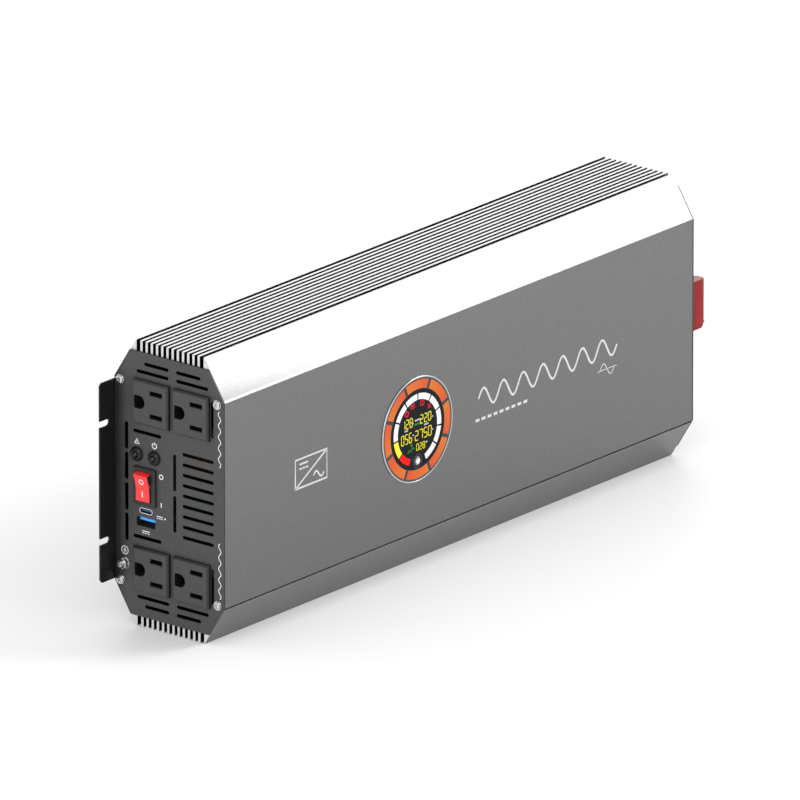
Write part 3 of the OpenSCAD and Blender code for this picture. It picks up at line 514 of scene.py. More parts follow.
panel = {"edgeMm": 0.18, "flangePastMm": 0.3}
for node in ("output_panel", "input_panel"):
    piece = softened(node, panel["edgeMm"])
    dress(piece, materials["panel_steel"], shadedFlangePaint)
    for face in piece.data.polygons:
        cutEdge = abs(face.normal.x) < 0.5
        onFlange = abs(face.center.x) > abs(outletFace) + panel["flangePastMm"] * mm
        # Painted shade: cut edges and flanges take the darker flange coat
        face.material_index = 1 if cutEdge or onFlange else 0
    standFor(piece, node, "housing")

outlet = {"edgeMm": 0.22, "faceMm": 0.3}
for number in range(1, 5):
    node = f"outlet_housing_{number}"
    piece = softened(node, outlet["edgeMm"])
    dress(piece, materials["outlet_plastic"], shadedNylonSides)
    low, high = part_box(node)
    for face in piece.data.polygons:
        onFace = face.center.x < low.x + outlet["faceMm"] * mm
        # Painted shade: all but the front face and the downward faces take the darker side colour
        face.material_index = 0 if onFace or face.normal.z < -0.3 else 1
    standFor(piece, node, "housing")

# Pieces whose outer edges need only a small round: node, body, radius in mm
softPieces = [
    ("fault_bezel", "housing", 0.15), ("power_bezel", "housing", 0.15),
    ("switch_housing", "housing", 0.18), ("switch_rocker", "switch_rocker", 0.3),
    ("usb_c_port", "housing", 0.08), ("usb_a_port", "housing", 0.08),
    ("usb_c_tongue", "housing", 0.1), ("usb_a_tongue", "housing", 0.15),
    ("earth_nut", "housing", 0.25), ("earth_stud", "housing", 0.2), ("earth_washer", "housing", 0.1),
    ("display_ring", "housing", 0.15), ("display_bezel", "housing", 0.1), ("display_lens", "housing", 0.1),
    ("upper_fan_frame", "housing", 0.3), ("lower_fan_frame", "housing", 0.3),
    ("positive_bar", "housing", 0.3), ("negative_bar", "housing", 0.3),
    ("positive_bush", "housing", 0.3), ("negative_bush", "housing", 0.3),
    ("positive_cap", "positive_cap", 0.7), ("negative_cap", "negative_cap", 0.7),
]
slotOf = {part["node"]: part["material_slot"] for part in frame["record"]["subparts"]}
for node, body, edgeMm in softPieces:
    piece = softened(node, edgeMm, 3)
    dress(piece, materials[slotOf[node]])
    standFor(piece, node, body)
print("outlets, ports, caps and bars softened")

# The pivots at the rocker's sides are black
rockerHalfWidth = 4.6
piece = softenedPieces["switch_rocker"]
piece.data.materials.append(materials["black_plastic"])
for face in piece.data.polygons:
    if abs(face.center.y - middle("switch_housing").y) > rockerHalfWidth * mm:
        face.material_index = 1

# Ports: a bright ring on the small one; painted shade, black, on the inner walls of the large one's mouth
dress(softenedPieces["usb_c_port"], portRing)
dress(softenedPieces["usb_c_tongue"], tongueBlue)
piece = softenedPieces["usb_a_port"]
piece.data.materials.append(materials["black_plastic"])
portMiddle = middle("usb_a_port")
for face in piece.data.polygons:
    away = Vector((0, face.center.y - portMiddle.y, face.center.z - portMiddle.z))
    # Painted shade: the inward walls behind the port's front take black plastic
    if face.normal.dot(away) <= 0 and face.center.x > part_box("usb_a_port")[0].x + 0.05 * mm:
        face.material_index = 1

# Lamp bezels are polished; the far panel's sheared top edge is bare
for node in ("fault_bezel", "power_bezel"):
    dress(softenedPieces[node], lampBlack)
piece = softenedPieces["input_panel"]
piece.data.materials.append(shearedEdge)
bareEdge = {"aboveMm": 50.0, "pastPanelMm": 0.3}
for face in piece.data.polygons:
    farOut = abs(face.center.z) > bareEdge["aboveMm"] * mm
    inPanel = face.center.x < batteryFace + bareEdge["pastPanelMm"] * mm
    if face.normal.z > 0.3 and farOut and inPanel:
        face.material_index = 2

# CAD nodes that stay as they are and only get their finish
for node, cadObject in frame["nodes"].items():
    dress(cadObject, materials[slotOf[node]])


# Printed marks: flat strips and rings a few hundredths of a millimetre high
ink = {"heightMm": 0.05, "sunkMm": 0.03}


class Marks:
    def __init__(self):
        self.sheet = bmesh.new()

    def polygon(self, points):
        self.sheet.faces.new([self.sheet.verts.new((x, y, 0)) for x, y in points])

    def bar(self, x0, y0, x1, y1, width):
        along = Vector((x1 - x0, y1 - y0)).normalized() * width / 2
        side = Vector((-along.y, along.x))
        a, b = Vector((x0, y0)), Vector((x1, y1))
        self.polygon([a - side, b - side, b + side, a + side])

    def line(self, points, width):
        spots = [Vector(p) for p in points]
        sides = []
        for i, spot in enumerate(spots):
            before, after = spots[max(i - 1, 0)], spots[min(i + 1, len(spots) - 1)]
            way = (after - before).normalized()
            sides.append(Vector((-way.y, way.x)) * width / 2)
        rows = [(self.sheet.verts.new((*(s - d), 0)), self.sheet.verts.new((*(s + d), 0)))
                for s, d in zip(spots, sides)]
        for (a, b), (c, d) in zip(rows, rows[1:]):
            self.sheet.faces.new([a, c, d, b])

    def arc(self, x, y, radius, width, start=0.0, stop=360.0):
        steps = max(4, round(abs(stop - start) / 9))
        turns = [math.radians(start + (stop - start) * k / steps) for k in range(steps + 1)]
        rows = [[self.sheet.verts.new((x + r * math.cos(t), y + r * math.sin(t), 0))
                 for r in (radius + width / 2, radius - width / 2)] for t in turns]
        for (a, b), (c, d) in zip(rows, rows[1:]):
            self.sheet.faces.new([a, c, d, b])

    def disc(self, x, y, radius):
        self.polygon([(x + radius * math.cos(k * math.pi / 12), y + radius * math.sin(k * math.pi / 12))
                      for k in range(24)])

    def wave(self, x0, x1, y, height, width):
        points = [(x0 + (x1 - x0) * k / 24, y + height * math.sin(k * math.pi / 12)) for k in range(25)]
        self.line(points, width)

    # Makes the solid piece; turn carries local X, Y, Z to the object's axes, with Z outwards
    def finish(self, name, turn, origin, finish, body, slot, heightMm=None):
        height = heightMm or ink["heightMm"]
        bmesh.ops.remove_doubles(self.sheet, verts=self.sheet.verts, dist=0.0005)
        bmesh.ops.recalc_face_normals(self.sheet, faces=self.sheet.faces)
        faces = list(self.sheet.faces)
        for face in faces:
            if face.normal.z < 0:
                face.normal_flip()
        raised = bmesh.ops.extrude_face_region(self.sheet, geom=faces, use_keep_orig=True)
        top = [v for v in raised["geom"] if isinstance(v, bmesh.types.BMVert)]
        bmesh.ops.translate(self.sheet, verts=top, vec=(0, 0, height + ink["sunkMm"]))
        bmesh.ops.recalc_face_normals(self.sheet, faces=self.sheet.faces)
        mesh = bpy.data.meshes.new(name)
        self.sheet.to_mesh(mesh)
        self.sheet.free()
        mesh.transform(Matrix.Translation(Vector((0, 0, -ink["sunkMm"]))))
        mesh.transform(Matrix.Scale(mm, 4))
        mesh.transform(turn.to_4x4())
        mesh.transform(Matrix.Translation(origin))
        piece = link(name, mesh)
        dress(piece, finish)
        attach(piece, body)
        return piece


# On the outlet panel local X runs towards the display face and local Y is up
onOutletPanel = Matrix(((0, 0, -1), (-1, 0, 0), (0, 1, 0)))
onFront = Matrix(((1, 0, 0), (0, 0, -1), (0, 1, 0)))


def panelPoint(y, z):
    return Vector((outletFace, y, z))


def markPanel(marks, name, y, z):
    return marks.finish(name, onOutletPanel, panelPoint(y, z), whiteInk, "housing", "panel_steel")


def markFace(marks, name, xMm, zMm):
    place = Vector((outletFace + xMm * mm, frontFace, zMm * mm))
    return marks.finish(name, onFront, place, greyInk, "housing", "body_aluminium")


# Marks on the outlet panel
faultLamp, powerLamp = middle("fault_bezel"), middle("power_bezel")
switchMiddle = middle("switch_housing")
switchLow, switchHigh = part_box("switch_housing")
usbC, usbA = middle("usb_c_port"), middle("usb_a_port")
stud = middle("earth_stud")

# Warning triangle over the fault lamp, power symbol over the other
sign = Marks()
sign.line([(-1.7, -1.1), (0, 1.6), (1.7, -1.1), (-1.7, -1.1)], 0.5)
sign.bar(0, -0.5, 0, 0.7, 0.45)
markPanel(sign, "faultMark", faultLamp.y, faultLamp.z + 6.8 * mm)
sign = Marks()
sign.arc(0, 0, 1.5, 0.5, 120, 420)
sign.bar(0, 0.2, 0, 1.9, 0.5)
markPanel(sign, "powerMark", powerLamp.y, powerLamp.z + 6.8 * mm)

# Off ring and on bar beside the two ends of the rocker
sign = Marks()
sign.arc(0, 0, 1.2, 0.55)
markPanel(sign, "offMark", switchLow.y - 3.2 * mm, switchHigh.z - 3.0 * mm)
sign = Marks()
sign.bar(0, -1.3, 0, 1.3, 0.6)
markPanel(sign, "onMark", switchLow.y - 3.2 * mm, switchLow.z + 2.0 * mm)


# Direct current: a bar over three dashes
def directCurrent(marks, x, y, width):
    marks.bar(x - width / 2, y + 0.55, x + width / 2, y + 0.55, 0.45)
    for dash in (x - width * 0.36, x, x + width * 0.36):
        marks.bar(dash - width * 0.13, y - 0.55, dash + width * 0.13, y - 0.55, 0.45)


sign = Marks()
directCurrent(sign, 0, 0, 4.0)
sign.disc(3.6, 0, 0.5)
markPanel(sign, "portMarkC", usbC.y - 9.5 * mm, usbC.z - 1.5 * mm)
sign = Marks()
directCurrent(sign, 0, 0, 5.0)
markPanel(sign, "portMarkA", usbA.y, usbA.z - 5.4 * mm)

# Earth symbol in a ring above the stud
sign = Marks()
sign.arc(0, 0, 2.2, 0.4)
sign.bar(0, 0.1, 0, 1.5, 0.4)
for k, half in enumerate((1.3, 0.85, 0.4)):
    sign.bar(-half, 0.1 - 0.65 * k, half, 0.1 - 0.65 * k, 0.32)
markPanel(sign, "earthMark", stud.y, stud.z + 6.9 * mm)

# Alternating-current marks along the edge beside each pair of outlets
acMark = {"fromEdgeMm": 2.9, "lowMm": 21.0, "highMm": 52.0, "pitchMm": 6.2}
for side, label in ((1, "upper"), (-1, "lower")):
    sign = Marks()
    length = acMark["highMm"] - acMark["lowMm"]
    cycles = round(length / acMark["pitchMm"])
    sign.line([(0.8 * math.sin(t * math.pi / 8), length * (t / 16 / cycles - 0.5))
               for t in range(16 * cycles + 1)], 0.45)
    markPanel(sign, label + "OutletMark", frontFace + acMark["fromEdgeMm"] * mm,
              side * (acMark["lowMm"] + length / 2) * mm)
print("panel marks printed")

# Rocker marks, laid in the dish of the rocker
rocker = {"halfMm": 7.5, "riseMm": 2.9, "dishMm": 0.9, "pivotMm": 1.2, "tiltDeg": 8.0}
dishRadius = (rocker["halfMm"] ** 2 + rocker["dishMm"] ** 2) / (2 * rocker["dishMm"])


# Bends a flat mark onto the dish and tips it with the rocker; its local Y is the rocker's length
def layOnRocker(piece):
    turn = Matrix.Rotation(math.radians(rocker["tiltDeg"]), 3, "X")
    pivot = Vector((outletFace - rocker["pivotMm"] * mm, switchMiddle.y, switchMiddle.z))
    for vertex in piece.data.vertices:
        x, y, z = vertex.co / mm
        bottom = rocker["riseMm"] - rocker["dishMm"]
        surface = bottom + dishRadius - math.sqrt(dishRadius ** 2 - y * y)
        local = turn @ Vector((x, y, surface + z))
        vertex.co = pivot + onOutletPanel @ (local * mm)
    piece.data.update()


for name, draw in (("rockerOffMark", lambda m: m.arc(0, 3.6, 1.35, 0.5)),
                   ("rockerOnMark", lambda m: m.line([(0, -5.0 + 0.6 * k) for k in range(6)], 0.6))):
    sign = Marks()
    draw(sign)
    piece = sign.finish(name, Matrix.Identity(3), Vector(), whiteInk, "switch_rocker", "rocker_red")
    layOnRocker(piece)

# Converter symbol on the wide face: direct current in, alternating current out
sign = Marks()
sign.line([(-13, -8), (13, -8), (13, 8), (-13, 8), (-13, -8)], 1.1)
sign.bar(-12.6, -7.6, 12.6, 7.6, 1.0)
sign.bar(-9.5, 5.0, -2.5, 5.0, 1.0)
for k in range(3):
    sign.bar(-9.5 + 2.55 * k, 2.4, -7.6 + 2.55 * k, 2.4, 1.0)
sign.wave(2.0, 10.5, -4.0, 1.9, 1.0)
markFace(sign, "converterSign", 71.5, 1.8)

# A run of sine cycles with a thin rule under it
sign = Marks()
for k in range(7):
    sign.wave(-58.0 + 16.6 * k, -58.0 + 16.6 * (k + 1), 0, 5.2, 1.25)
markFace(sign, "waveSign", 268.5, 3.6)
sign = Marks()
for k in range(9):
    sign.bar(-21.5 + 5.0 * k, 0, -18.3 + 5.0 * k, 0, 1.6)
markFace(sign, "dashRule", 229.5, -8.2)

# Small sine with its axis
sign = Marks()
sign.bar(-8.0, 0, 8.0, 0, 0.4)
sign.wave(-6.0, 6.0, 0, 3.4, 0.55)
markFace(sign, "sineSign", 318.5, -8.2)
print("face marks printed")

# Round display
display = {"outerMm": 27.35, "orangeMm": 22.4, "segments": 8, "gapMm": 2.0,
           "gaugeOuterMm": 19.8, "gaugeInnerMm": 16.4, "gaugeGapDeg": 3.0, "inkMm": 0.04,
           "slateMm": 0.015}
displayPlace = Vector((displayCentre.x, lensFace, displayCentre.z))


# Geometry nodes: copies of one object turned about the object's origin
def turnedCopies(name, pattern, count, firstTurn, material):
    tree = bpy.data.node_groups.new(name, "GeometryNodeTree")
    tree.interface.new_socket("Geometry", in_out="INPUT", socket_type="NodeSocketGeometry")
    sockets = {
        "Pattern": tree.interface.new_socket("Pattern", in_out="INPUT", socket_type="NodeSocketObject"),
        "Count": tree.interface.new_socket("Count", in_out="INPUT", socket_type="NodeSocketInt"),
        "First Turn": tree.interface.new_socket("First Turn", in_out="INPUT", socket_type="NodeSocketFloat"),
    }
    tree.interface.new_socket("Geometry", in_out="OUTPUT", socket_type="NodeSocketGeometry")
    start = addNode(tree, "NodeGroupInput").outputs
    points = addNode(tree, "GeometryNodeMeshLine", {"Offset": (0, 0, 0)}, {"Count": start["Count"]})
    info = addNode(tree, "GeometryNodeObjectInfo", links={"Object": start["Pattern"]})
    index = addNode(tree, "GeometryNodeInputIndex")
    step = addNode(tree, "ShaderNodeMath", {"operation": "DIVIDE", 0: math.tau}, {1: start["Count"]})
    angle = addNode(tree, "ShaderNodeMath", {"operation": "MULTIPLY_ADD"},
                    {0: index.outputs[0], 1: step.outputs[0], 2: start["First Turn"]})
    turn = addNode(tree, "ShaderNodeCombineXYZ", links={"Z": angle.outputs[0]})
    copies = addNode(tree, "GeometryNodeInstanceOnPoints", links={
        "Points": points.outputs["Mesh"], "Instance": info.outputs["Geometry"], "Rotation": turn.outputs[0]})
    real = addNode(tree, "GeometryNodeRealizeInstances", links={"Geometry": copies.outputs[0]})
    painted = addNode(tree, "GeometryNodeSetMaterial", {"Material": material}, {"Geometry": real.outputs[0]})
    addNode(tree, "NodeGroupOutput", links={0: painted.outputs[0]})
    piece = link(name, bpy.data.meshes.new(name))
    modifier = piece.modifiers.new("copies", "NODES")
    modifier.node_group = tree
    modifier[sockets["Pattern"].identifier] = pattern
    modifier[sockets["Count"].identifier] = count
    modifier[sockets["First Turn"].identifier] = firstTurn
    settle(piece)
    bpy.data.objects.remove(pattern)
    return piece


def markDisplay(marks, name, finish, heightMm=display["inkMm"]):
    return marks.finish(name, onFront, displayPlace, finish, "housing", "display_glass", heightMm)


def placed(piece, turn, origin):
    piece.data.transform(turn.to_4x4())
    piece.data.transform(Matrix.Translation(origin))
    piece.data.update()
    return piece


# One arc of the orange ring, its sides parallel to the gap; "along" runs 0 to 1 for the colour
def orangeArc():
    work = bmesh.new()
    steps = 16
    half = math.pi / display["segments"]
    rings = []
    for radius in (display["orangeMm"], display["outerMm"]):
        edge = half - math.asin(display["gapMm"] / 2 / radius)
        rings.append([(radius, -edge + 2 * edge * k / steps) for k in range(steps + 1)])
    levels = []
    for z in (-ink["sunkMm"], display["inkMm"]):
        levels.append([[work.verts.new((r * math.cos(t) * mm, r * math.sin(t) * mm, z * mm)) for r, t in ring]
                       for ring in rings])
    (lowIn, lowOut), (topIn, topOut) = levels
    for k in range(steps):
        work.faces.new([topIn[k], topOut[k], topOut[k + 1], topIn[k + 1]])
        work.faces.new([lowIn[k], lowIn[k + 1], lowOut[k + 1], lowOut[k]])
        work.faces.new([lowOut[k], lowOut[k + 1], topOut[k + 1], topOut[k]])
        work.faces.new([lowIn[k], topIn[k], topIn[k + 1], lowIn[k + 1]])
    work.faces.new([lowIn[0], lowOut[0], topOut[0], topIn[0]])
    work.faces.new([lowIn[-1], topIn[-1], topOut[-1], lowOut[-1]])
    bmesh.ops.recalc_face_normals(work, faces=work.faces)
    along = work.verts.layers.float.new("along")
    for vertex in work.verts:
        vertex[along] = 0.5 + math.atan2(vertex.co.y, vertex.co.x) / (2 * half)
    mesh = bpy.data.meshes.new("orangeArc")
    work.to_mesh(mesh)
    work.free()
    return link("orangeArc", mesh)


# Printed orange that deepens along each arc
def orangeFinish(tree, shader, place):
    along = addNode(tree, "ShaderNodeAttribute", {"attribute_name": "along"}).outputs["Fac"]
    ramp = tint(tree, shader, along, "#c9502c", "#d0702b", 0.0, 1.0)
    tree.links.new(ramp.outputs[0], shader.inputs["Emission Color"])


orangePrint = newMaterial("backlit orange segment", "#cc6030", 0.4, 0.0, orangeFinish, Emission_Strength=0.05,
                          Specular_IOR_Level=0.1)
ring = turnedCopies("orangeRing", orangeArc(), display["segments"], 0.0, orangePrint)
placed(ring, onFront, displayPlace)
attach(ring, "housing")

# Slate band that shows between the orange segments, and a ring of painted shade round the button
sign = Marks()
sign.arc(0, 0, (display["orangeMm"] + display["outerMm"]) / 2, display["outerMm"] - display["orangeMm"] + 0.5)
markDisplay(sign, "slateBand", slateInk, display["slateMm"])
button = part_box("display_button")
buttonRadius = (button[1].x - button[0].x) / 2 / mm
sign = Marks()
buttonSpot = (middle("display_button") - displayPlace) / mm
sign.arc(buttonSpot.x, buttonSpot.z, buttonRadius + 0.35, 0.7)
markDisplay(sign, "buttonHalo", paintedButtonShade)

# Gauge: ten segments from the start round clockwise, red, yellow, then white
gaugeEdges = [250.5, 220, 188, 155.3, 121.3, 89, 54.8, 23, -7.3, -37.6, -70.5]
gaugeMiddle = (display["gaugeOuterMm"] + display["gaugeInnerMm"]) / 2
gaugeWidth = display["gaugeOuterMm"] - display["gaugeInnerMm"]
for name, finish, first, last in (("gaugeRed", litRed, 0, 1), ("gaugeYellow", litBarYellow, 1, 2),
                                  ("gaugeWhite", litWhite, 2, 10)):
    sign = Marks()
    for k in range(first, last):
        gap = display["gaugeGapDeg"] / 2
        sign.arc(0, 0, gaugeMiddle, gaugeWidth, gaugeEdges[k] - gap, gaugeEdges[k + 1] + gap)
    markDisplay(sign, name, finish)

# Seven-segment figures
segmentsOn = {"0": "abcdef", "1": "bc", "2": "abged", "3": "abgcd", "4": "fgbc", "5": "afgcd", "6": "afgedc",
              "7": "abc", "8": "abcdefg", "9": "abcdfg"}


def figure(marks, digit, x, z, width, height, stroke):
    top, mid, low = height - stroke / 2, height / 2, stroke / 2
    left, right = stroke / 2, width - stroke / 2
    strokes = {"a": (left, top, right, top), "g": (left, mid, right, mid), "d": (left, low, right, low),
               "f": (left, mid, left, top), "b": (right, mid, right, top),
               "e": (left, low, left, mid), "c": (right, low, right, mid)}
    for key in segmentsOn[digit]:
        x0, z0, x1, z1 = strokes[key]
        gap = stroke * 0.3
        dx, dz = (gap, 0) if z0 == z1 else (0, gap)
        marks.bar(x + x0 + dx, z + z0 + dz, x + x1 - dx, z + z1 - dz, stroke)


def number(marks, text, x, z, pitch, height, stroke):
    for k, digit in enumerate(text):
        figure(marks, digit, x + k * pitch, z, pitch * 0.82, height, stroke)


sign = Marks()
number(sign, "128", -12.8, 2.2, 3.15, 5.4, 0.55)
number(sign, "220", 2.2, 2.2, 3.3, 5.2, 0.55)
number(sign, "056", -13.6, -6.2, 3.2, 5.8, 0.55)
number(sign, "2750", -2.2, -6.3, 3.65, 5.8, 0.55)
markDisplay(sign, "displayFigures", litYellow)
sign = Marks()
number(sign, "028", -1.0, -12.0, 2.6, 4.0, 0.45)
markDisplay(sign, "displaySmallFigures", litYellow)

# Four red symbols: a ring, a battery, a box with a bar and a cross
sign = Marks()
sign.arc(-8.9, 10.7, 1.35, 0.7)
sign.line([(-5.4, 12.7), (-2.4, 12.7), (-2.4, 15.1), (-5.4, 15.1), (-5.4, 12.7)], 0.5)
sign.bar(-4.9, 13.9, -3.4, 13.9, 1.0)
sign.line([(2.6, 12.5), (5.4, 12.5), (5.4, 15.0), (2.6, 15.0), (2.6, 12.5)], 0.5)
sign.bar(4.0, 12.9, 4.0, 14.6, 0.5)
sign.bar(8.6, 9.3, 11.0, 11.8, 0.6)
sign.bar(8.6, 11.8, 11.0, 9.3, 0.6)
markDisplay(sign, "displaySymbols", litIcon)
sign = Marks()
for x, z, width in ((0.3, 5.2, 5.0), (7.3, 1.1, 3.6), (-9.3, 1.4, 2.8), (12.6, 4.0, 0.9), (12.5, -3.2, 0.9),
                    (-3.6, -2.4, 0.9), (7.6, -8.9, 1.2), (-3.7, 4.2, 0.8)):
    sign.bar(x - width / 2, z, x + width / 2, z, 0.9)
markDisplay(sign, "displayDashes", litGrey)
sign = Marks()
sign.bar(-2.4, 3.0, 2.2, 3.0, 0.9)
sign.disc(-5.0, -7.6, 0.8)
sign.line([(-8.2, -11.6), (-6.6, -10.2), (-5.6, -11.4), (-4.2, -9.0), (-2.6, -10.4)], 0.7)
markDisplay(sign, "displayGreen", litGreen)
print("display drawn")


# Screws: a domed head with a cross recess on a flat washer, one at each point
def screwTree(name):
    tree = bpy.data.node_groups.new(name, "GeometryNodeTree")
    inputs = {}
    for label, kind in (("Geometry", "Geometry"), ("Head Radius", "Float"), ("Head Height", "Float"),
                        ("Dome", "Float"), ("Recess", "Float"), ("Washer Radius", "Float"),
                        ("Washer Height", "Float"), ("Outwards", "Vector"), ("Seed", "Int")):
        inputs[label] = tree.interface.new_socket(label, in_out="INPUT", socket_type="NodeSocket" + kind)
    tree.interface.new_socket("Geometry", in_out="OUTPUT", socket_type="NodeSocketGeometry")
    start = addNode(tree, "NodeGroupInput").outputs

    def vector(**parts):
        return addNode(tree, "ShaderNodeCombineXYZ", links=parts).outputs[0]

    def value(operation, a, b, third=None):
        settings, links = {"operation": operation}, {}
        for slot, item in ((0, a), (1, b), (2, third)):
            if isinstance(item, (int, float)):
                settings[slot] = item
            elif item is not None:
                links[slot] = item
        return addNode(tree, "ShaderNodeMath", settings, links).outputs[0]

    head = addNode(tree, "GeometryNodeMeshCylinder", {"Vertices": 32, "Side Segments": 1, "Fill Segments": 6},
                   {"Radius": start["Head Radius"], "Depth": start["Head Height"]}).outputs["Mesh"]
    spot = addNode(tree, "GeometryNodeInputPosition").outputs[0]
    parts = addNode(tree, "ShaderNodeSeparateXYZ", links={0: spot}).outputs
    reach = value("SQRT", value("ADD", value("POWER", parts["X"], 2.0), value("POWER", parts["Y"], 2.0)), 0.0)
    share = value("POWER", value("DIVIDE", reach, start["Head Radius"]), 3.0)
    drop = value("MULTIPLY", value("MULTIPLY", share, start["Dome"]), -1.0)
    above = value("GREATER_THAN", parts["Z"], 0.0)
    lower = vector(Z=value("MULTIPLY", drop, above))
    domed = addNode(tree, "GeometryNodeSetPosition", links={"Geometry": head, "Offset": lower}).outputs[0]

    # Two crossed wedges are cut out of the top
    longSide, thin = value("MULTIPLY", start["Recess"], 2.0), value("MULTIPLY", start["Recess"], 0.42)
    arms = []
    for a, b in ((longSide, thin), (thin, longSide)):
        size = vector(X=a, Y=b, Z=start["Head Height"])
        arm = addNode(tree, "GeometryNodeMeshCube", links={"Size": size}).outputs["Mesh"]
        raised = addNode(tree, "GeometryNodeTransform", links={
            "Geometry": arm, "Translation": vector(Z=value("MULTIPLY", start["Head Height"], 0.5))})
        arms.append(raised.outputs[0])
    cut = addNode(tree, "GeometryNodeMeshBoolean", {"operation": "DIFFERENCE"}, {"Mesh 1": domed})
    for arm in arms:
        tree.links.new(arm, cut.inputs["Mesh 2"])
    lift = value("MULTIPLY_ADD", start["Head Height"], 0.5, start["Washer Height"])
    headUp = addNode(tree, "GeometryNodeTransform", links={
        "Geometry": cut.outputs["Mesh"], "Translation": vector(Z=lift)}).outputs[0]
    washer = addNode(tree, "GeometryNodeMeshCylinder", {"Vertices": 32},
                     {"Radius": start["Washer Radius"], "Depth": start["Washer Height"]}).outputs["Mesh"]
    washerUp = addNode(tree, "GeometryNodeTransform", links={
        "Geometry": washer,
        "Translation": vector(Z=value("MULTIPLY", start["Washer Height"], 0.5))}).outputs[0]
    screw = addNode(tree, "GeometryNodeJoinGeometry", links={0: headUp})
    tree.links.new(washerUp, screw.inputs[0])

    aim = addNode(tree, "FunctionNodeAlignRotationToVector", {"axis": "Z"},
                  {"Vector": start["Outwards"]}).outputs[0]
    spin = addNode(tree, "FunctionNodeRandomValue", {"data_type": "FLOAT"}, {"Seed": start["Seed"]})
    spinValue = next(s for s in spin.outputs if s.enabled)
    spinMax = next(s for s in spin.inputs if s.name == "Max" and s.enabled)
    spinMax.default_value = math.tau
    twist = addNode(tree, "FunctionNodeAxisAngleToRotation", {"Axis": (0, 0, 1)},
                    {"Angle": spinValue}).outputs[0]
    whole = addNode(tree, "FunctionNodeRotateRotation", {"rotation_space": "LOCAL"},
                    {0: aim, 1: twist}).outputs[0]
    copies = addNode(tree, "GeometryNodeInstanceOnPoints", links={
        "Points": start["Geometry"], "Instance": screw.outputs[0], "Rotation": whole})
    real = addNode(tree, "GeometryNodeRealizeInstances", links={"Geometry": copies.outputs[0]})
    painted = addNode(tree, "GeometryNodeSetMaterial", {"Material": materials["screw_steel"]},
                      {"Geometry": real.outputs[0]})
    addNode(tree, "NodeGroupOutput", links={0: painted.outputs[0]})
    return tree, inputs


screwNodes, screwInputs = screwTree("screwSet")


# The CAD screws of a node are separate solids: the middle of each one's outermost face is its point
def screwPoints(node, face):
    work = bmesh.new()
    work.from_mesh(frame["nodes"][node].data)
    bmesh.ops.remove_doubles(work, verts=work.verts, dist=0.002 * mm)
    left = set(work.verts)
    middles = []
    while left:
        group, stack = [], [left.pop()]
        while stack:
            vertex = stack.pop()
            group.append(vertex.co.copy())
            for edge in vertex.link_edges:
                other = edge.other_vert(vertex)
                if other in left:
                    left.remove(other)
                    stack.append(other)
        ys, zs = [p.y for p in group], [p.z for p in group]
        middles.append(Vector((face, (min(ys) + max(ys)) / 2, (min(zs) + max(zs)) / 2)))
    work.free()
    return middles


def screws(name, node, face, outwards, sizes, seed):
    mesh = bpy.data.meshes.new(name)
    mesh.from_pydata(screwPoints(node, face), [], [])
    piece = link(name, mesh)
    modifier = piece.modifiers.new("screws", "NODES")
    modifier.node_group = screwNodes
    for label, amount in sizes.items():
        modifier[screwInputs[label].identifier] = amount * mm
    modifier[screwInputs["Outwards"].identifier] = outwards
    modifier[screwInputs["Seed"].identifier] = seed
    settle(piece)
    piece.data.shade_flat()
    standFor(piece, node, "housing")
    return piece


cornerScrew = {"Head Radius": 2.3, "Head Height": 1.5, "Dome": 0.55, "Recess": 1.25,
               "Washer Radius": 2.6, "Washer Height": 0.4}
fanScrew = {"Head Radius": 3.3, "Head Height": 1.7, "Dome": 0.6, "Recess": 1.8,
            "Washer Radius": 3.7, "Washer Height": 0.4}
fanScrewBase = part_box("fan_screws")[1].x - 2.2 * mm
screws("outletScrews", "output_panel_screws", outletFace, (-1, 0, 0), cornerScrew, 3)
screws("batteryScrews", "input_panel_screws", batteryFace, (1, 0, 0), cornerScrew, 5)
screws("fanScrews", "fan_screws", fanScrewBase, (1, 0, 0), fanScrew, 9)
print("screws set")


# Fan rotors: a hub with a rolled rim and seven curved blades
fan = {"blades": 7, "hubMm": 12.5, "tipMm": 22.7, "rootPitchDeg": 46, "tipPitchDeg": 28, "chordMm": 13.5,
       "sweepDeg": 16, "camberMm": 1.1, "thickMm": 1.0}


def fanBlade(depth):
    work = bmesh.new()
    rows, columns = 8, 10
    sheets = []
    for side in (-1, 1):
        sheet = []
        for i in range(rows + 1):
            share = i / rows
            radius = fan["hubMm"] - 0.6 + (fan["tipMm"] - fan["hubMm"] + 0.6) * share
            pitch = math.radians(fan["rootPitchDeg"] + (fan["tipPitchDeg"] - fan["rootPitchDeg"]) * share)
            chord = min(fan["chordMm"], (depth - 1.4) / math.sin(pitch))
            line = []
            for k in range(columns + 1):
                c = (k / columns - 0.5) * chord
                camber = fan["camberMm"] * (1 - (2 * k / columns - 1) ** 2)
                thin = fan["thickMm"] / 2 * (0.35 + 0.65 * (1 - (2 * k / columns - 1) ** 2)) * side
                along = c * math.cos(pitch) - (camber + thin) * math.sin(pitch)
                rise = c * math.sin(pitch) + (camber + thin) * math.cos(pitch)
                angle = math.radians(fan["sweepDeg"]) * share + along / radius
                spot = Vector((radius * math.cos(angle), radius * math.sin(angle), rise))
                line.append(work.verts.new(spot * mm))
            sheet.append(line)
        sheets.append(sheet)
    low, top = sheets
    for i in range(rows):
        for k in range(columns):
            work.faces.new([low[i][k], low[i][k + 1], low[i + 1][k + 1], low[i + 1][k]])
            work.faces.new([top[i][k], top[i + 1][k], top[i + 1][k + 1], top[i][k + 1]])
        for k in (0, columns):
            work.faces.new([low[i][k], low[i + 1][k], top[i + 1][k], top[i][k]])
    for i in (0, rows):
        for k in range(columns):
            work.faces.new([low[i][k], low[i][k + 1], top[i][k + 1], top[i][k]])
    bmesh.ops.recalc_face_normals(work, faces=work.faces)
    mesh = bpy.data.meshes.new("fanBlade")
    work.to_mesh(mesh)
    work.free()
    return link("fanBlade", mesh)


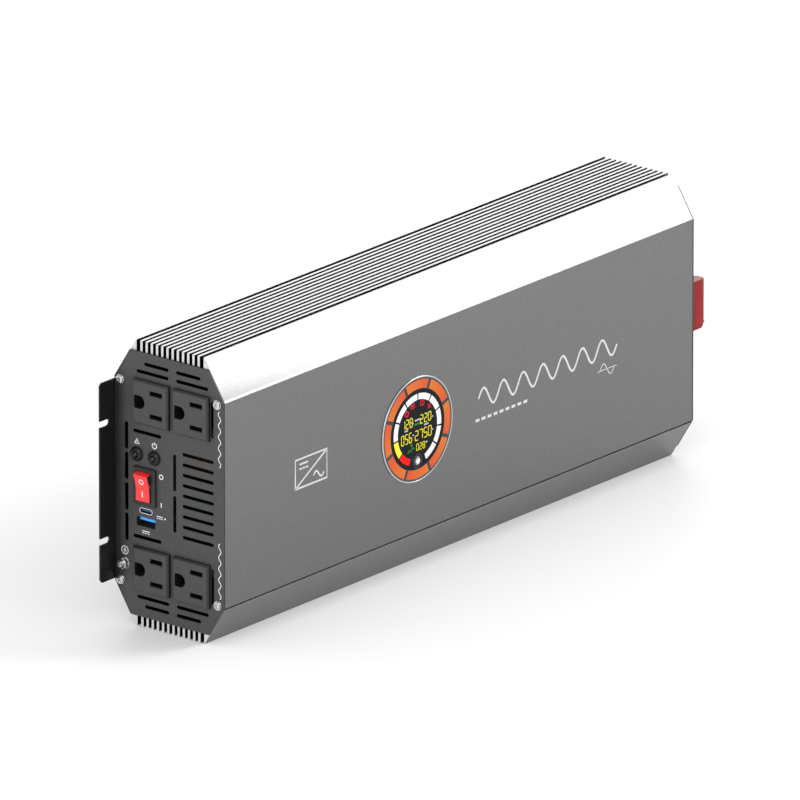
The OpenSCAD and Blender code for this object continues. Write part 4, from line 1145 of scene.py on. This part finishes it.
# A solid turned about local Z from (radius, height) points in mm
def turned(name, profile, steps=48):
    work = bmesh.new()
    rings = []
    for radius, height in profile:
        if radius < 1e-6:
            rings.append([work.verts.new((0, 0, height * mm))])
        else:
            rings.append([work.verts.new((radius * math.cos(math.tau * k / steps) * mm,
                                          radius * math.sin(math.tau * k / steps) * mm, height * mm))
                          for k in range(steps)])
    for first, second in zip(rings, rings[1:]):
        for k in range(steps):
            j = (k + 1) % steps
            if len(first) == 1:
                work.faces.new([first[0], second[k], second[j]])
            elif len(second) == 1:
                work.faces.new([first[k], first[j], second[0]])
            else:
                work.faces.new([first[k], first[j], second[j], second[k]])
    bmesh.ops.recalc_face_normals(work, faces=work.faces)
    mesh = bpy.data.meshes.new(name)
    work.to_mesh(mesh)
    work.free()
    return link(name, mesh)


def joined(first, *others):
    work = bmesh.new()
    for piece in (first, *others):
        work.from_mesh(piece.data)
    work.to_mesh(first.data)
    work.free()
    for piece in others:
        bpy.data.objects.remove(piece)
    return first


def smoothByAngle(piece, degrees):
    work = bmesh.new()
    work.from_mesh(piece.data)
    for face in work.faces:
        face.smooth = True
    for edge in work.edges:
        edge.smooth = abs(math.degrees(turning(edge))) < degrees
    work.to_mesh(piece.data)
    work.free()


# Local Z turned to +X, the way the fans face
onBatteryPanel = Matrix(((0, 0, 1), (0, 1, 0), (-1, 0, 0)))
for side in ("upper", "lower"):
    node = side + "_fan_rotor"
    low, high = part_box(node)
    depthMm = (high.x - low.x) / mm - 1.1
    hubR = fan["hubMm"]
    base, topZ = -depthMm / 2, depthMm / 2
    hub = turned(side + "FanHub", [(0, base), (hubR - 1.0, base), (hubR, base + 0.6), (hubR, topZ - 1.6),
                                   (hubR - 0.4, topZ - 0.6), (hubR - 1.4, topZ), (4.0, topZ),
                                   (3.6, topZ - 0.5), (0, topZ - 0.5)])
    blades = turnedCopies(side + "FanRotor", fanBlade(depthMm), fan["blades"], 0.0,
                          materials["black_plastic"])
    rotor = joined(blades, hub)
    dress(rotor, materials["black_plastic"])
    placed(rotor, onBatteryPanel, Vector(((low.x + high.x) / 2 + 0.5 * mm, middle(node).y, middle(node).z)))
    smoothByAngle(rotor, 35)
    standFor(rotor, node, node)
print("fans built")

# Port contacts: a row of four brass fingers under the large port's tongue
finger = {"forwardMm": 1.5, "pitchMm": 2.3, "dropMm": 0.12, "longMm": 7.5, "wideMm": 1.0, "thickMm": 0.3}
fingerSize = Matrix.Diagonal((finger["longMm"] * mm, finger["wideMm"] * mm, finger["thickMm"] * mm, 1))
tongueLow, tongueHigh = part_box("usb_a_tongue")
work = bmesh.new()
for k in range(4):
    spot = Vector(((tongueLow.x + tongueHigh.x) / 2 - finger["forwardMm"] * mm,
                   usbA.y + (k - 1.5) * finger["pitchMm"] * mm, tongueLow.z - finger["dropMm"] * mm))
    made = bmesh.ops.create_cube(work, size=1.0)
    bmesh.ops.transform(work, verts=made["verts"], matrix=Matrix.Translation(spot) @ fingerSize)
mesh = bpy.data.meshes.new("usbFingers")
work.to_mesh(mesh)
work.free()
fingers = link("usbFingers", mesh)
dress(fingers, materials["contact_brass"])
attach(fingers, "housing")


# Floor, light and camera
def areaLight(name, towards, distance, size, watts, aim):
    light = bpy.data.lights.new(name, "AREA")
    light.shape = "RECTANGLE"
    light.size, light.size_y = size
    light.energy = watts
    lamp = bpy.data.objects.new(name, light)
    scene.collection.objects.link(lamp)
    place = aim + Vector(towards).normalized() * distance
    lamp.location = place
    lamp.rotation_euler = (aim - place).to_track_quat("-Z", "Y").to_euler()
    lamp.visible_camera = False
    return lamp


floorZ = cadBox[0][2]
floorMesh = bpy.data.meshes.new("floor")
floorSize = 30.0
floorCorners = [(a * floorSize, b * floorSize, floorZ) for a, b in ((-1, -1), (1, -1), (1, 1), (-1, 1))]
floorMesh.from_pydata(floorCorners, [], [(0, 1, 2, 3)])
floor = link("floor", floorMesh)
dress(floor, newMaterial("pale studio floor", "#fdfdfd", 0.9))

world = bpy.data.worlds.new("studio")
world.use_nodes = True
world.node_tree.nodes.clear()
sky = addNode(world.node_tree, "ShaderNodeBackground", {"Color": (1, 1, 1, 1), "Strength": 0.8})
addNode(world.node_tree, "ShaderNodeOutputWorld", links={0: sky.outputs[0]})
scene.world = world

bodyMiddle = Vector((0, depthMiddle, 0))
areaLight("slantSoftbox", (0.73, -0.556, 0.43), 5.0, (2.1, 1.9), 127, bodyMiddle)
areaLight("finSoftbox", (0.73, 0.60, 0.36), 5.0, (1.9, 1.7), 46, bodyMiddle)
areaLight("leftSoftbox", (-0.9, -0.35, 0.55), 2.4, (1.4, 1.4), 14, bodyMiddle)

cameraAngles = {"azimuth": -50.602, "elevation": 19.08}
azimuth, elevation = (math.radians(cameraAngles[key]) for key in ("azimuth", "elevation"))
back = Vector((math.sin(azimuth) * math.cos(elevation), -math.cos(azimuth) * math.cos(elevation),
               math.sin(elevation)))
right = Vector((math.cos(azimuth), math.sin(azimuth), 0))
up = back.cross(right)
framing = {"distance": 13.66, "lens": 1161.6, "left": 5.24, "down": 0.77}
aim = Vector((0, -0.0395, 0)) - right * framing["left"] * mm - up * framing["down"] * mm
camera = bpy.data.cameras.new("camera")
camera.lens = framing["lens"]
camera.sensor_width = 36
camera.clip_end = 100
viewer = bpy.data.objects.new("camera", camera)
scene.collection.objects.link(viewer)
viewer.location = aim + back * framing["distance"]
viewer.rotation_euler = (-back).to_track_quat("-Z", "Y").to_euler()
scene.camera = viewer
scene.view_settings.view_transform = "Standard"
print("studio set")
